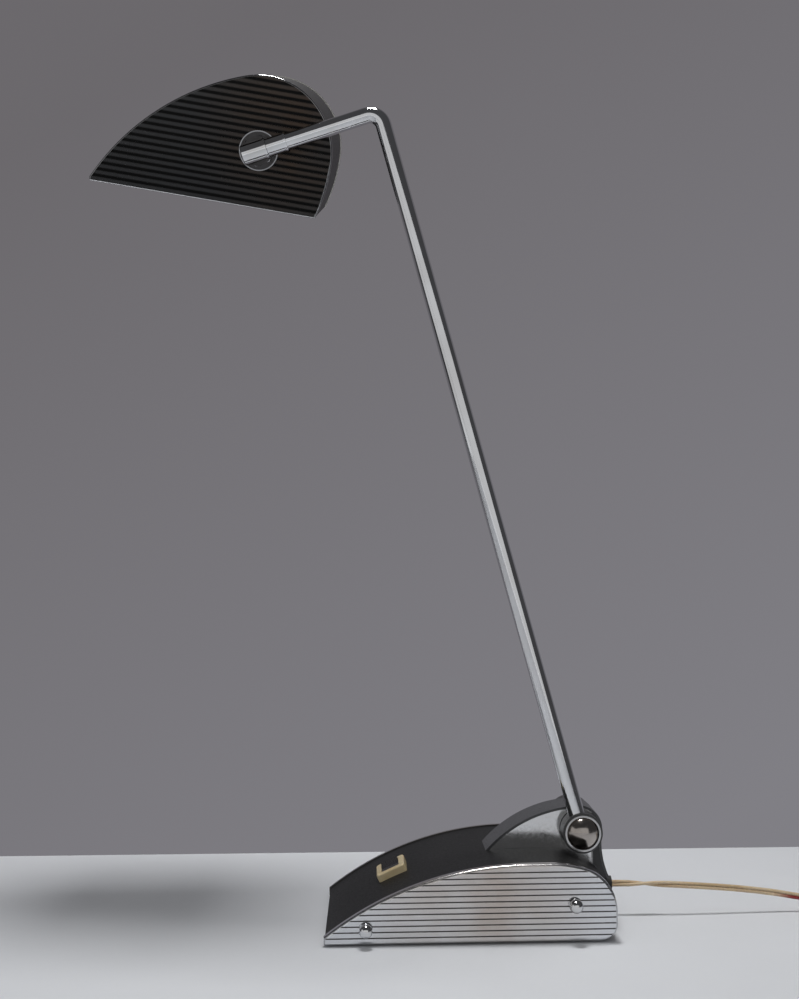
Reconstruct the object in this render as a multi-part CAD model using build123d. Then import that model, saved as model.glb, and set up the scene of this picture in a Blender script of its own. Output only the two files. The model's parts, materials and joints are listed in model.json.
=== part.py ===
from build123d import *
import math
import os

import numpy

os.makedirs("parts", exist_ok=True)

# Desk lamp with a tilting stem and a swivelling, tilting shade.
# Millimetres and degrees. X runs from the front tip of the base to its rear, Y from the near side
# plate to the far one, Z is up, and the origin is the middle of the underside.

# Clearances
seat_clearance = 0.05
running_clearance = 0.05
face_clearance = 0.1

# Base outline, seen from the side
base_length = 170.0
base_width = 108.0
base_height = 45.5
base_tip_height = 5.7
crown_setback = 52.0
crown_flat = 14.1
back_radius = 66.0
heel_radius = 26.0
corner_radius = 10.0

# Base shells
felt_thickness = 1.0
felt_margin = 3.0
base_plate_thickness = 2.0
side_plate_thickness = 4.0
side_plate_edge_radius = 2.0
skin_thickness = 1.2
skin_recess = 0.8
base_rim = 1.2
base_groove_pitch = 3.27
base_groove_width = 0.8
base_groove_first = 4.6
groove_depth = 0.6

# Tie rods across the base, with a ball nut at each end
tie_rod_diameter = 4.0
ball_nut_diameter = 8.0
ball_nut_stand = 3.0
ball_nut_bite = 3.4
front_rod_setback = 24.4
front_rod_height = 10.0
rear_rod_setback = 24.7
rear_rod_height = 22.0

# Ballast and wiring inside the base
ballast_side_gap = 4.0
ballast_rod_gap = 7.3
ballast_height = 26.0
ballast_front_setback = 66.0
base_screw_diameter = 4.0
base_screw_head_diameter = 7.6
base_screw_length = 14.0
base_screw_inset = 16.0
terminal_length = 20.0
terminal_width = 26.0
terminal_height = 7.0
terminal_bore = 3.0
terminal_pitch = 9.0

# Switch on the front slope
switch_setback = 41.0
bezel_length = 18.5
bezel_width = 24.0
bezel_height = 4.5
bezel_bar = 3.5
bezel_corner = 2.0
bezel_edge_radius = 1.0
bezel_neck_wall = 1.4
bezel_neck_depth = 6.0
switch_body_depth = 13.0
rocker_side_gap = 0.4
rocker_end_gap = 0.9
rocker_pivot_height = 1.0
rocker_valley_height = 3.9
rocker_foot_depth = 4.0
rocker_foot_half = 3.4
rocker_throw = 16.0
trunnion_diameter = 2.4
trunnion_bite = 1.6

# Hinge bracket behind the crown
hinge_setback = 14.9
hinge_rise = 10.5
bracket_width = 24.8
cheek_thickness = 2.5
strap_thickness = 1.5
strap_radius = 80.0
strap_foot_setback = 72.5
strap_tuck = 8.0
strap_wrap_radius = 14.0
strap_wrap_end = -8.0
tail_radius = 50.0
tail_end_height = 26.0
bracket_block_length = 22.0
bracket_block_height = 6.0
bracket_screw_diameter = 4.0
bracket_screw_head_diameter = 7.0
bracket_screw_head_height = 2.4
bracket_screw_spread = 11.0
bracket_screw_bite = 5.0

# Hinge barrel, a hub on the near side that carries the stem and a cap on the far side
barrel_radius = 12.0
barrel_cap_radius = 13.5
axle_diameter = 6.0
washer_thickness = 1.0
washer_diameter = 20.0
hub_length = 11.6
barrel_cap_length = 13.0
barrel_cap_edge = 1.2
cap_ring_diameter = 21.5
cap_ring_width = 1.1
cap_ring_length = 1.2
dome_height = 5.5
axle_dome_bite = 2.5

# Stem and arm, one bent tube
tube_diameter = 10.0
tube_wall = 1.0
stem_lean = 14.94
stem_length = 457.3
elbow_radius = 9.0
arm_length = 81.3
arm_drop = 14.95
arm_swing = 9.0
stem_root = 5.0
stem_wire_diameter = 7.2

# Swivel at the end of the arm
ferrule_diameter = 11.4
ferrule_length = 12.8
ferrule_seat = 5.0
collar_length = 1.2
collar_rise = 0.5
boss_diameter = 12.6
boss_back = 7.6
boss_front = 8.6
boss_chamfer = 0.5
spigot_diameter = 6.0
spigot_length = 6.5

# Pivot through the near plate of the shade
nipple_diameter = 10.0
nipple_bore = 6.0
nipple_root = 3.0
nut_across_flats = 17.0
nut_thickness = 5.0
nut_gap = 0.1
nut_chamfer = 0.8
pivot_washer_diameter = 24.8
pivot_washer_thickness = 2.2
pivot_washer_rim = 1.3
pivot_washer_dish = 0.5
spring_washer_diameter = 20.0
spring_washer_thickness = 1.0

# Shade outline, along the open edge from the tip and up from that edge
shade_width = 84.0
shade_tip_height = 2.7
shade_crown_radius = 46.1
shade_crown_along = 106.7
shade_crown_up = 36.2
shade_join_angle = 108.6
shade_back_radius = 120.0
shade_pivot_along = 106.1
shade_pivot_up = 36.4
shade_plate_thickness = 2.5
shade_plate_edge_radius = 1.2
shade_skin_thickness = 1.0
shade_skin_recess = 0.7
shade_rim = 1.6
shade_groove_pitch = 4.15
shade_groove_width = 1.4
shade_groove_first = 3.6
shade_tip_up = 9.4
shade_roll = 19.2

# Lamp holder and bulb, on the pivot axis inside the shade
holder_diameter = 27.0
holder_floor = 6.0
holder_wall = 2.4
holder_ring_diameter = 33.0
holder_ring_length = 4.0
holder_ring_setback = 6.0
contact_diameter = 8.0
contact_height = 2.0
bulb_cap_diameter = 13.8
bulb_cap_length = 18.0
bulb_diameter = 40.0
bulb_neck_diameter = 18.0
bulb_neck_length = 6.0

# Mains cord, from the clamp inside the base to the plug
cord_diameter = 4.0
cord_exit_height = 19.5
grommet_diameter = 9.0
grommet_neck = 7.0
grommet_stand = 7.0
grommet_inside = 2.6
clamp_length = 8.0
clamp_width = 14.0
clamp_setback = 18.0
clamp_crown = 4.5
coil_place = 268.0
coil_outer_radius = 27.2
coil_turn_pitch = 5.2
coil_layer_pitch = 4.7
coil_layer_turns = (2.25, 2.5, 2.25, 2.5)
tie_thickness = 0.8
tie_width = 6.0
tie_slack = 0.4
tail_run_out = 16.0
tail_run_in = 18.0
plug_place = 346.0
plug_side = -4.5
plug_length = 30.0
plug_width = 35.0
plug_height = 13.7
plug_corner = 5.0
plug_sleeve_length = 10.0
plug_sleeve_diameter = 9.0
plug_pin_diameter = 4.0
plug_pin_length = 19.0
plug_pin_pitch = 18.6
plug_pin_bite = 6.0

# Places that follow from the sizes above
half_length = base_length / 2
half_width = base_width / 2
plate_inner = half_width - side_plate_thickness
floor_inside = felt_thickness + base_plate_thickness
crown_x = half_length - crown_setback
back_x = crown_x + crown_flat
front_run = crown_x + half_length
front_rise = base_height - base_tip_height
front_radius = (front_run ** 2 + front_rise ** 2) / (2 * front_rise)
front_centre = (crown_x, base_height - front_radius)
back_centre = (back_x, base_height - back_radius)
heel_x = half_length - heel_radius
heel_z = back_centre[1] + math.sqrt((back_radius - heel_radius) ** 2 - (heel_x - back_x) ** 2)
hinge = (half_length - hinge_setback, base_height + hinge_rise)
cheek_outer = bracket_width / 2
cheek_inner = cheek_outer - cheek_thickness
hub_inner = cheek_outer + washer_thickness + face_clearance
hub_outer = hub_inner + hub_length
cap_outer = hub_inner + barrel_cap_length
stem_foot = Vector(hinge[0], -(hub_inner + hub_outer) / 2, hinge[1])
stem_direction = Vector(-math.sin(math.radians(stem_lean)), 0, math.cos(math.radians(stem_lean)))
arm_reach = math.cos(math.radians(arm_drop))
arm_direction = Vector(
    -arm_reach * math.cos(math.radians(arm_swing)),
    arm_reach * math.sin(math.radians(arm_swing)),
    -math.sin(math.radians(arm_drop)),
)
elbow = stem_foot + stem_direction * stem_length
pivot = elbow + arm_direction * arm_length
across = Vector(0, 1, 0) - arm_direction * arm_direction.Y
pivot_direction = across.normalized().rotate(Axis((0, 0, 0), arm_direction), -shade_roll)
level = Vector(1, 0, 0) - pivot_direction * pivot_direction.X
shade_along = level.normalized().rotate(Axis((0, 0, 0), pivot_direction), shade_tip_up)
head_plane = Plane(origin=pivot, x_dir=shade_along, z_dir=shade_along.cross(pivot_direction))
nut_offset = boss_diameter / 2 + collar_rise + nut_gap
shade_near = nut_offset + nut_thickness + pivot_washer_thickness + face_clearance
shade_near_inner = shade_near + shade_plate_thickness
shade_far = shade_near + shade_width
holder_start = shade_near_inner + face_clearance + spring_washer_thickness
bulb_start = holder_start + holder_floor + contact_height
glass_start = bulb_start + bulb_cap_length


def slab(face, near, far):
    """A face drawn in X and Z, made solid from Y = near to Y = far."""
    return extrude(Plane.XZ.offset(-far) * face, far - near, dir=(0, -1, 0))


def rod(start, end, radius):
    """A round bar between two points."""
    along = Vector(end) - Vector(start)
    bar = Cylinder(radius, along.length, align=(Align.CENTER, Align.CENTER, Align.MIN))
    return Plane(origin=Vector(start), z_dir=along) * bar


def cross_rod(centre, near, far, radius):
    """A round bar along Y at a point given by X and Z."""
    return rod((centre[0], near, centre[1]), (centre[0], far, centre[1]), radius)


def block(low, high):
    """A box between two opposite corners."""
    size = Vector(high) - Vector(low)
    middle = (Vector(low) + Vector(high)) * 0.5
    return Pos(*middle) * Box(size.X, size.Y, size.Z)


def angle_at(centre, point):
    """The direction of a point seen from a centre, in degrees."""
    return math.degrees(math.atan2(point[1] - centre[1], point[0] - centre[0]))


def toward(centre, distance, angle):
    """A point at a distance and direction from a centre."""
    turn = math.radians(angle)
    return (centre[0] + distance * math.cos(turn), centre[1] + distance * math.sin(turn))


def arc(centre, radius, first, last):
    """An arc between two directions."""
    return CenterArc(centre, radius, first, last - first)


def base_outline(inset):
    """The side view of the base, drawn in from its edge."""
    left = -half_length + inset
    right = half_length - inset
    low = felt_thickness + inset
    top = base_height - inset
    tip_reach = front_radius - inset
    tip_z = front_centre[1] + math.sqrt(tip_reach ** 2 - (left - crown_x) ** 2)
    join = angle_at(back_centre, (heel_x, heel_z))
    corner = (half_length - corner_radius, felt_thickness + corner_radius)
    edges = [
        Line((left, low), (left, tip_z)),
        arc(front_centre, tip_reach, angle_at(front_centre, (left, tip_z)), 90),
        Line((crown_x, top), (back_x, top)),
        arc(back_centre, back_radius - inset, 90, join),
        arc((heel_x, heel_z), heel_radius - inset, join, 0),
        Line((right, heel_z), (right, corner[1])),
        arc(corner, corner_radius - inset, 0, -90),
        Line((corner[0], low), (left, low)),
    ]
    return Face(Wire(edges))


def shade_outline(inset, low):
    """The side view of the shade about its pivot, drawn in from its edge and cut at a height."""
    crown = (shade_crown_along, shade_crown_up)
    tip = (0, shade_tip_height)
    join = math.radians(shade_join_angle)
    inward = (-math.cos(join), -math.sin(join))
    span = (crown[0] - tip[0], crown[1] - tip[1])
    lean = span[0] * inward[0] + span[1] * inward[1]
    reach = (span[0] ** 2 + span[1] ** 2 - shade_crown_radius ** 2) / (2 * (shade_crown_radius - lean))
    front = (crown[0] + reach * inward[0], crown[1] + reach * inward[1])
    front_reach = reach + shade_crown_radius - inset
    back = (crown[0] + shade_crown_radius - shade_back_radius, crown[1])
    back_reach = shade_back_radius - inset
    tip_up = front[1] + math.sqrt(front_reach ** 2 - (inset - front[0]) ** 2)
    back_along = back[0] + math.sqrt(back_reach ** 2 - (low - back[1]) ** 2)
    edges = [
        Line((inset, low), (inset, tip_up)),
        arc(front, front_reach, angle_at(front, (inset, tip_up)), shade_join_angle),
        arc(crown, shade_crown_radius - inset, shade_join_angle, 0),
        arc(back, back_reach, 0, angle_at(back, (back_along, low))),
        Line((back_along, low), (inset, low)),
    ]
    return Pos(-shade_pivot_along, -shade_pivot_up) * Face(Wire(edges))


def grooves(inner_face, first, pitch, width, near, far):
    """Straight level grooves over a face, spaced evenly, between two depths."""
    box = inner_face.bounding_box()
    count = int((box.max.Y - width - first) / pitch) + 1
    bars = Part()
    for index in range(count):
        level = first + index * pitch
        bars += block((box.min.X, near, level), (box.max.X, far, level + width))
    return bars & slab(inner_face, near, far)


# Places on the base that several pieces share
rod_places = [
    (-half_length + front_rod_setback, front_rod_height),
    (half_length - rear_rod_setback, rear_rod_height),
]
skin_prism = slab(base_outline(skin_recess), -plate_inner, plate_inner)
skin_front_radius = front_radius - skin_recess
switch_x = -half_length + switch_setback
switch_slope = math.asin((crown_x - switch_x) / skin_front_radius)
switch_plane = Plane(
    origin=(switch_x, 0, front_centre[1] + skin_front_radius * math.cos(switch_slope)),
    x_dir=(math.cos(switch_slope), 0, math.sin(switch_slope)),
    z_dir=(-math.sin(switch_slope), 0, math.cos(switch_slope)),
)
opening_length = bezel_length - 2 * bezel_bar
opening_width = bezel_width - 2 * bezel_bar
neck_length = opening_length + 2 * bezel_neck_wall
neck_width = opening_width + 2 * bezel_neck_wall
screw_x = crown_x + crown_flat / 2
screw_sides = (-bracket_screw_spread / 2, bracket_screw_spread / 2)
exit_x = half_length - skin_recess
ballast_x = (-half_length + ballast_front_setback, rod_places[1][0] - tie_rod_diameter / 2 - ballast_rod_gap)
ballast_half = plate_inner - ballast_side_gap
base_screw_places = [
    (x, y)
    for x in (ballast_x[0] + base_screw_inset, ballast_x[1] - base_screw_inset)
    for y in (-ballast_half + base_screw_inset, ballast_half - base_screw_inset)
]


def end_edges(plate, side):
    """The edges round the face of a plate that looks along Y, on one side."""
    faces = plate.faces().sort_by(Axis.Y)
    return faces[0].edges() if side < 0 else faces[-1].edges()


def side_plate(side):
    """Grooved side plate, with a plain rim and holes for the tie rods."""
    inner = plate_inner * side
    outer = half_width * side
    depth = (half_width - groove_depth) * side
    plate = slab(base_outline(0), min(inner, outer), max(inner, outer))
    plate = fillet(end_edges(plate, side), side_plate_edge_radius)
    level = base_outline(base_rim)
    plate -= grooves(level, base_groove_first, base_groove_pitch, base_groove_width,
                     min(depth, outer), max(depth, outer))
    for place in rod_places:
        plate -= cross_rod(place, -half_width, half_width, tie_rod_diameter / 2 + seat_clearance)
    return plate


def base_skin():
    """Bent sheet over the top, front and rear, open underneath."""
    skin = skin_prism - slab(base_outline(skin_recess + skin_thickness), -plate_inner, plate_inner)
    skin -= block((-half_length, -half_width, 0), (half_length, half_width, floor_inside))
    window = Box(neck_length + 2 * seat_clearance, neck_width + 2 * seat_clearance, 4 * skin_thickness)
    skin -= switch_plane * window
    for y in screw_sides:
        skin -= rod((screw_x, y, 0), (screw_x, y, base_height), bracket_screw_diameter / 2 + seat_clearance)
    skin -= rod((heel_x, 0, cord_exit_height), (half_length, 0, cord_exit_height),
                grommet_neck / 2 + seat_clearance)
    return skin


def base_plate():
    """Flat floor of the base, countersunk for the ballast screws."""
    low = (-half_length + skin_recess, -plate_inner, felt_thickness)
    plate = block(low, (half_length - corner_radius, plate_inner, floor_inside))
    plate += skin_prism & block((-half_length, -half_width, 0), (half_length, half_width, floor_inside))
    for x, y in base_screw_places:
        plate -= screw_shape(x, y, seat_clearance)
    return plate


def felt_pad():
    """Felt under the base plate."""
    low = (-half_length + skin_recess + felt_margin, -plate_inner + felt_margin, 0)
    high = (half_length - corner_radius - felt_margin, plate_inner - felt_margin, felt_thickness)
    return block(low, high)


def screw_shape(x, y, spare):
    """A countersunk screw seen from below, larger by a spare all round for its hole."""
    shank = base_screw_diameter / 2 + spare
    head = base_screw_head_diameter / 2 + spare
    cone_height = min(base_plate_thickness, head - shank)
    cone = Cone(head, shank, cone_height, align=(Align.CENTER, Align.CENTER, Align.MIN))
    low = Vector(x, y, felt_thickness)
    return Pos(*low) * cone + rod(low, low + Vector(0, 0, base_screw_length + spare), shank)


def base_screws():
    """Four screws up through the base plate into the ballast."""
    return [screw_shape(x, y, 0) for x, y in base_screw_places]


def ballast_block():
    """Cast weight standing on the base plate."""
    low = (ballast_x[0], -ballast_half, floor_inside)
    high = (ballast_x[1], ballast_half, floor_inside + ballast_height)
    weight = block(low, high)
    for x, y in base_screw_places:
        weight -= screw_shape(x, y, seat_clearance)
    return weight


def terminal_block():
    """Two-way connector on top of the ballast."""
    middle = (ballast_x[0] + ballast_x[1]) / 2
    low = Vector(middle - terminal_length / 2, -terminal_width / 2, floor_inside + ballast_height)
    body = block(low, low + Vector(terminal_length, terminal_width, terminal_height))
    level = low.Z + terminal_height / 2
    for y in (-terminal_pitch / 2, terminal_pitch / 2):
        body -= rod((low.X, y, level), (low.X + terminal_length, y, level), terminal_bore / 2)
    return body


def tie_rods():
    """Two rods that draw the side plates together."""
    reach = half_width + ball_nut_bite
    return [cross_rod(place, -reach, reach, tie_rod_diameter / 2) for place in rod_places]


def ball_nuts(side):
    """Two ball nuts on the outside of one side plate."""
    nuts = []
    outer = half_width * side
    radius = ball_nut_diameter / 2
    for x, z in rod_places:
        ball = Pos(x, outer + ball_nut_stand * side, z) * Sphere(radius)
        ball -= block((x - radius, min(0, outer), z - radius), (x + radius, max(0, outer), z + radius))
        hole_end = outer + (ball_nut_bite + seat_clearance) * side
        ball -= cross_rod((x, z), 0, hole_end, tie_rod_diameter / 2 + seat_clearance)
        nuts.append(ball)
    return nuts


def switch_bezel():
    """Raised square frame, seated on the slope, with a neck down through the skin."""
    top = RectangleRounded(bezel_length, bezel_width, bezel_corner)
    frame = extrude(Pos(0, 0, -skin_thickness) * top, bezel_height + skin_thickness)
    frame = fillet(frame.faces().sort_by(Axis.Z)[-1].edges(), bezel_edge_radius)
    frame = switch_plane * frame - skin_prism
    neck_height = bezel_neck_depth + bezel_height / 2
    neck = Box(neck_length, neck_width, neck_height, align=(Align.CENTER, Align.CENTER, Align.MIN))
    frame += switch_plane * Pos(0, 0, -bezel_neck_depth) * neck
    hole = Box(opening_length, opening_width, 2 * (bezel_neck_depth + bezel_height))
    pin_half = opening_length / 2 + trunnion_bite + face_clearance
    pin = rod((-pin_half, 0, rocker_pivot_height), (pin_half, 0, rocker_pivot_height),
              trunnion_diameter / 2 + running_clearance)
    return frame - switch_plane * hole - switch_plane * pin


def switch_body():
    """Moulded contact box under the bezel."""
    box = Box(neck_length, neck_width, switch_body_depth, align=(Align.CENTER, Align.CENTER, Align.MAX))
    return switch_plane * Pos(0, 0, -bezel_neck_depth) * box


def switch_rocker():
    """Rocker with a shallow valley and a trunnion at each side, resting with its far half raised."""
    half = opening_width / 2 - rocker_end_gap
    rise = half * math.tan(math.radians(rocker_throw / 2))
    section = Polyline(
        (-half, 0), (-rocker_foot_half, -rocker_foot_depth), (rocker_foot_half, -rocker_foot_depth),
        (half, 0), (half, rocker_valley_height + rise), (0, rocker_valley_height),
        (-half, rocker_valley_height + rise), close=True)
    length = opening_length - 2 * rocker_side_gap
    body = extrude(Plane.YZ.offset(-length / 2) * Face(Wire(section.edges())), length, dir=(1, 0, 0))
    reach = opening_length / 2 + trunnion_bite
    centre = (0, 0, rocker_pivot_height)
    body += rod((-reach, 0, rocker_pivot_height), (reach, 0, rocker_pivot_height), trunnion_diameter / 2)
    return switch_plane * body.rotate(Axis(centre, (1, 0, 0)), rocker_throw / 2)


# The strap rises from its foot on the skin, rounds the hinge and ends in a tail that flares out behind
strap_foot_x = half_length - strap_foot_setback
strap_foot_z = front_centre[1] + math.sqrt(skin_front_radius ** 2 - (crown_x - strap_foot_x) ** 2)
strap_foot = (strap_foot_x, strap_foot_z)
strap_span = math.dist(strap_foot, hinge)
strap_reach = strap_radius - strap_wrap_radius
strap_lift = strap_radius ** 2 + strap_span ** 2 - strap_reach ** 2
strap_fall = math.acos(strap_lift / (2 * strap_radius * strap_span))
strap_centre = toward(strap_foot, strap_radius, angle_at(strap_foot, hinge) - math.degrees(strap_fall))
strap_first = angle_at(strap_centre, strap_foot) + strap_tuck
strap_last = angle_at(strap_centre, hinge)
tail_centre = toward(hinge, strap_wrap_radius + tail_radius, strap_wrap_end)


def bracket_outline(inset):
    """The side view of the bracket, drawn in from the outside of the strap."""
    first = toward(strap_centre, strap_radius - inset, strap_first)
    drop = tail_centre[1] - tail_end_height
    tail_last = 180 + math.degrees(math.asin(drop / (tail_radius + inset)))
    edges = [
        arc(strap_centre, strap_radius - inset, strap_first, strap_last),
        arc(hinge, strap_wrap_radius - inset, strap_last, strap_wrap_end),
        arc(tail_centre, tail_radius + inset, 180 + strap_wrap_end, tail_last),
        Line(toward(tail_centre, tail_radius + inset, tail_last), (first[0], tail_end_height)),
        Line((first[0], tail_end_height), first),
    ]
    return Face(Wire(edges))


def bracket_strap():
    """Arched strip from the top of the base, over the hinge and down the back."""
    strap = slab(bracket_outline(0), -cheek_outer, cheek_outer)
    strap -= slab(bracket_outline(strap_thickness), -cheek_outer, cheek_outer)
    return strap - skin_prism


def bracket_cheek(side):
    """Upright plate under the strap that carries the axle."""
    near = min(cheek_inner * side, cheek_outer * side)
    far = max(cheek_inner * side, cheek_outer * side)
    cheek = slab(bracket_outline(strap_thickness), near, far)
    cheek -= cross_rod(hinge, near, far, axle_diameter / 2 + running_clearance)
    return cheek - skin_prism


def bracket_block():
    """Foot between the cheeks, drilled for its two screws."""
    low = (screw_x - bracket_block_length / 2, -cheek_inner, heel_z)
    high = (screw_x + bracket_block_length / 2, cheek_inner, base_height + bracket_block_height)
    foot = block(low, high) - skin_prism
    for y in screw_sides:
        top = base_height - skin_recess + bracket_screw_bite + seat_clearance
        foot -= rod((screw_x, y, heel_z), (screw_x, y, top), bracket_screw_diameter / 2 + seat_clearance)
    return foot


def bracket_screws():
    """Screws from inside the base up into the foot of the bracket."""
    seat = base_height - skin_recess - skin_thickness
    top = base_height - skin_recess + bracket_screw_bite
    screws = []
    for y in screw_sides:
        shank = rod((screw_x, y, seat), (screw_x, y, top), bracket_screw_diameter / 2)
        head = rod((screw_x, y, seat - bracket_screw_head_height), (screw_x, y, seat),
                   bracket_screw_head_diameter / 2)
        screws.append(shank + head)
    return screws


def hinge_axle():
    """Pin that turns in both cheeks, with the hub on one end and the far cap on the other."""
    return cross_rod(hinge, -hub_outer - axle_dome_bite, cap_outer + axle_dome_bite, axle_diameter / 2)


def around_hinge(near, far, outer, inner):
    """A ring about the hinge axis."""
    return cross_rod(hinge, near, far, outer) - cross_rod(hinge, near, far, inner)


def friction_washers():
    """A washer outside each cheek."""
    hole = axle_diameter / 2 + running_clearance
    outer = cheek_outer + washer_thickness
    return [
        around_hinge(-outer, -cheek_outer, washer_diameter / 2, hole),
        around_hinge(cheek_outer, outer, washer_diameter / 2, hole),
    ]


def far_barrel_cap():
    """Larger drum on the far end of the axle, with a rounded edge, that sets the friction."""
    drum = cross_rod(hinge, hub_inner, cap_outer, barrel_cap_radius)
    drum = fillet(end_edges(drum, 1), barrel_cap_edge)
    return drum - cross_rod(hinge, hub_inner, cap_outer, axle_diameter / 2 + seat_clearance)


def cap_ring(end, side):
    """Bright ring on the end of the barrel."""
    near = min(end * side, (end + cap_ring_length) * side)
    far = max(end * side, (end + cap_ring_length) * side)
    outer = cap_ring_diameter / 2
    return around_hinge(near, far, outer, outer - cap_ring_width)


def dome_nut(end, side):
    """Domed nut inside the ring, on the end of the axle."""
    base = cap_ring_diameter / 2 - cap_ring_width - seat_clearance
    radius = (base ** 2 + dome_height ** 2) / (2 * dome_height)
    ball = Pos(hinge[0], (end + dome_height - radius) * side, hinge[1]) * Sphere(radius)
    beyond = end + 2 * dome_height
    low = (hinge[0] - 2 * base, min(end * side, beyond * side), hinge[1] - 2 * base)
    high = (hinge[0] + 2 * base, max(end * side, beyond * side), hinge[1] + 2 * base)
    bite = (end + axle_dome_bite + seat_clearance) * side
    return (ball & block(low, high)) - cross_rod(hinge, 0, bite, axle_diameter / 2 + seat_clearance)


def hinge_hub():
    """Near end of the barrel, fixed on the axle and holding the stem."""
    hub = around_hinge(-hub_outer, -hub_inner, barrel_radius, axle_diameter / 2 + seat_clearance)
    return hub - rod(stem_foot + stem_direction * (stem_root - seat_clearance),
                     stem_foot + stem_direction * 2 * barrel_radius, tube_diameter / 2 + seat_clearance)


# Stations along the arm, measured from the elbow corner
boss_start = arm_length - boss_back
ferrule_end = boss_start - face_clearance
ferrule_start = ferrule_end - ferrule_length
tube_end = ferrule_start + ferrule_seat


def on_arm(distance):
    """A point on the arm's centre line."""
    return elbow + arm_direction * distance


def stem_path(first, last):
    """The centre line of the bent tube between a distance from the hinge and one from the elbow."""
    return FilletPolyline(stem_foot + stem_direction * first, elbow, on_arm(last), radius=elbow_radius)


def swept_round(path, radius):
    """A round section carried along a path."""
    return sweep(Plane(origin=path @ 0, z_dir=path % 0) * Circle(radius), path=path)


def stem_tube():
    """Bent tube, from the hub up to the elbow and forward to the swivel."""
    path = stem_path(stem_root, tube_end)
    return swept_round(path, tube_diameter / 2) - swept_round(path, tube_diameter / 2 - tube_wall)


def stem_wire():
    """Twin lead inside the tube, resting in its bore."""
    return swept_round(stem_path(2 * stem_root, tube_end - ferrule_seat), stem_wire_diameter / 2)


def swivel_ferrule():
    """Sleeve on the end of the tube that the swivel turns in."""
    sleeve = rod(on_arm(ferrule_start), on_arm(ferrule_end), ferrule_diameter / 2)
    sleeve += rod(on_arm(ferrule_start), on_arm(ferrule_start + collar_length),
                  ferrule_diameter / 2 + collar_rise)
    sleeve -= rod(on_arm(ferrule_start), on_arm(tube_end), tube_diameter / 2 + seat_clearance)
    return sleeve - rod(on_arm(tube_end), on_arm(ferrule_end), spigot_diameter / 2 + running_clearance)


def swivel_boss():
    """Round head that turns on the end of the arm and takes the nipple."""
    end = arm_length + boss_front
    boss = rod(on_arm(boss_start), on_arm(end), boss_diameter / 2)
    boss = chamfer(boss.faces().sort_by(Axis((0, 0, 0), arm_direction))[-1].edges(), boss_chamfer)
    boss += rod(on_arm(boss_start), on_arm(boss_start + collar_length), boss_diameter / 2 + collar_rise)
    boss += rod(on_arm(boss_start - spigot_length), on_arm(boss_start), spigot_diameter / 2)
    return boss - head_plane * cross_rod((0, 0), -nipple_root - seat_clearance, boss_diameter,
                                         nipple_diameter / 2 + seat_clearance)


def pivot_nipple():
    """Hollow stud from the boss, through the near plate, into the lamp holder."""
    end = holder_start + holder_floor
    stud = cross_rod((0, 0), -nipple_root, end, nipple_diameter / 2)
    return head_plane * (stud - cross_rod((0, 0), -nipple_root, end, nipple_bore / 2))


def pivot_nut():
    """Hexagon nut between the boss and the washer."""
    corner_radius_of_nut = nut_across_flats / math.sqrt(3)
    outline = RegularPolygon(corner_radius_of_nut, 6, rotation=30)
    nut = slab(outline, nut_offset, nut_offset + nut_thickness)
    rounding = Cone(corner_radius_of_nut - nut_chamfer, corner_radius_of_nut + nut_thickness - nut_chamfer,
                    nut_thickness, align=(Align.CENTER, Align.CENTER, Align.MIN))
    nut &= Plane(origin=(0, nut_offset, 0), z_dir=(0, 1, 0)) * rounding
    nut -= cross_rod((0, 0), 0, nut_offset + nut_thickness, nipple_diameter / 2 + seat_clearance)
    return head_plane * nut


def pivot_washer():
    """Bright washer with a raised rim, against the near plate."""
    near = nut_offset + nut_thickness
    radius = pivot_washer_diameter / 2
    disc = cross_rod((0, 0), near, near + pivot_washer_thickness, radius)
    flat = nut_across_flats / math.sqrt(3) + pivot_washer_rim / 2
    dish = cross_rod((0, 0), near, near + pivot_washer_dish, radius - pivot_washer_rim)
    disc -= dish - cross_rod((0, 0), near, near + pivot_washer_dish, min(flat, radius - pivot_washer_rim))
    disc -= cross_rod((0, 0), near, near + pivot_washer_thickness, nipple_diameter / 2 + seat_clearance)
    return head_plane * disc


def spring_washer():
    """Washer inside the shade that keeps the tilt stiff."""
    near = shade_near_inner + face_clearance
    place = (0, 0)
    disc = cross_rod(place, near, near + spring_washer_thickness, spring_washer_diameter / 2)
    disc -= cross_rod(place, near, near + spring_washer_thickness, nipple_diameter / 2 + seat_clearance)
    return head_plane * disc


def shade_plate(near, far, side):
    """Grooved end plate of the shade, with its outer edge rounded."""
    plate = slab(shade_outline(0, 0), near, far)
    plate = fillet(end_edges(plate, side), shade_plate_edge_radius)
    outer_near = near if side < 0 else far - groove_depth
    cut = grooves(shade_outline(shade_rim, shade_rim), shade_groove_first - shade_pivot_up,
                  shade_groove_pitch, shade_groove_width, outer_near, outer_near + groove_depth)
    return plate - cut


def near_shade_plate():
    """Plate that turns on the nipple, plain where the washer bears on it."""
    plate = shade_plate(shade_near, shade_near_inner, -1)
    plate += cross_rod((0, 0), shade_near, shade_near_inner, pivot_washer_diameter / 2)
    plate -= cross_rod((0, 0), shade_near, shade_near_inner, nipple_diameter / 2 + running_clearance)
    return head_plane * plate


def far_shade_plate():
    """Grooved far end of the shade."""
    return head_plane * shade_plate(shade_far - shade_plate_thickness, shade_far, 1)


def shade_skin():
    """Bent sheet between the end plates, open below."""
    far = shade_far - shade_plate_thickness
    outer = slab(shade_outline(shade_skin_recess, 0), shade_near_inner, far)
    hollow = shade_outline(shade_skin_recess + shade_skin_thickness, -shade_tip_height)
    return head_plane * (outer - slab(hollow, shade_near_inner, far))


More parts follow.
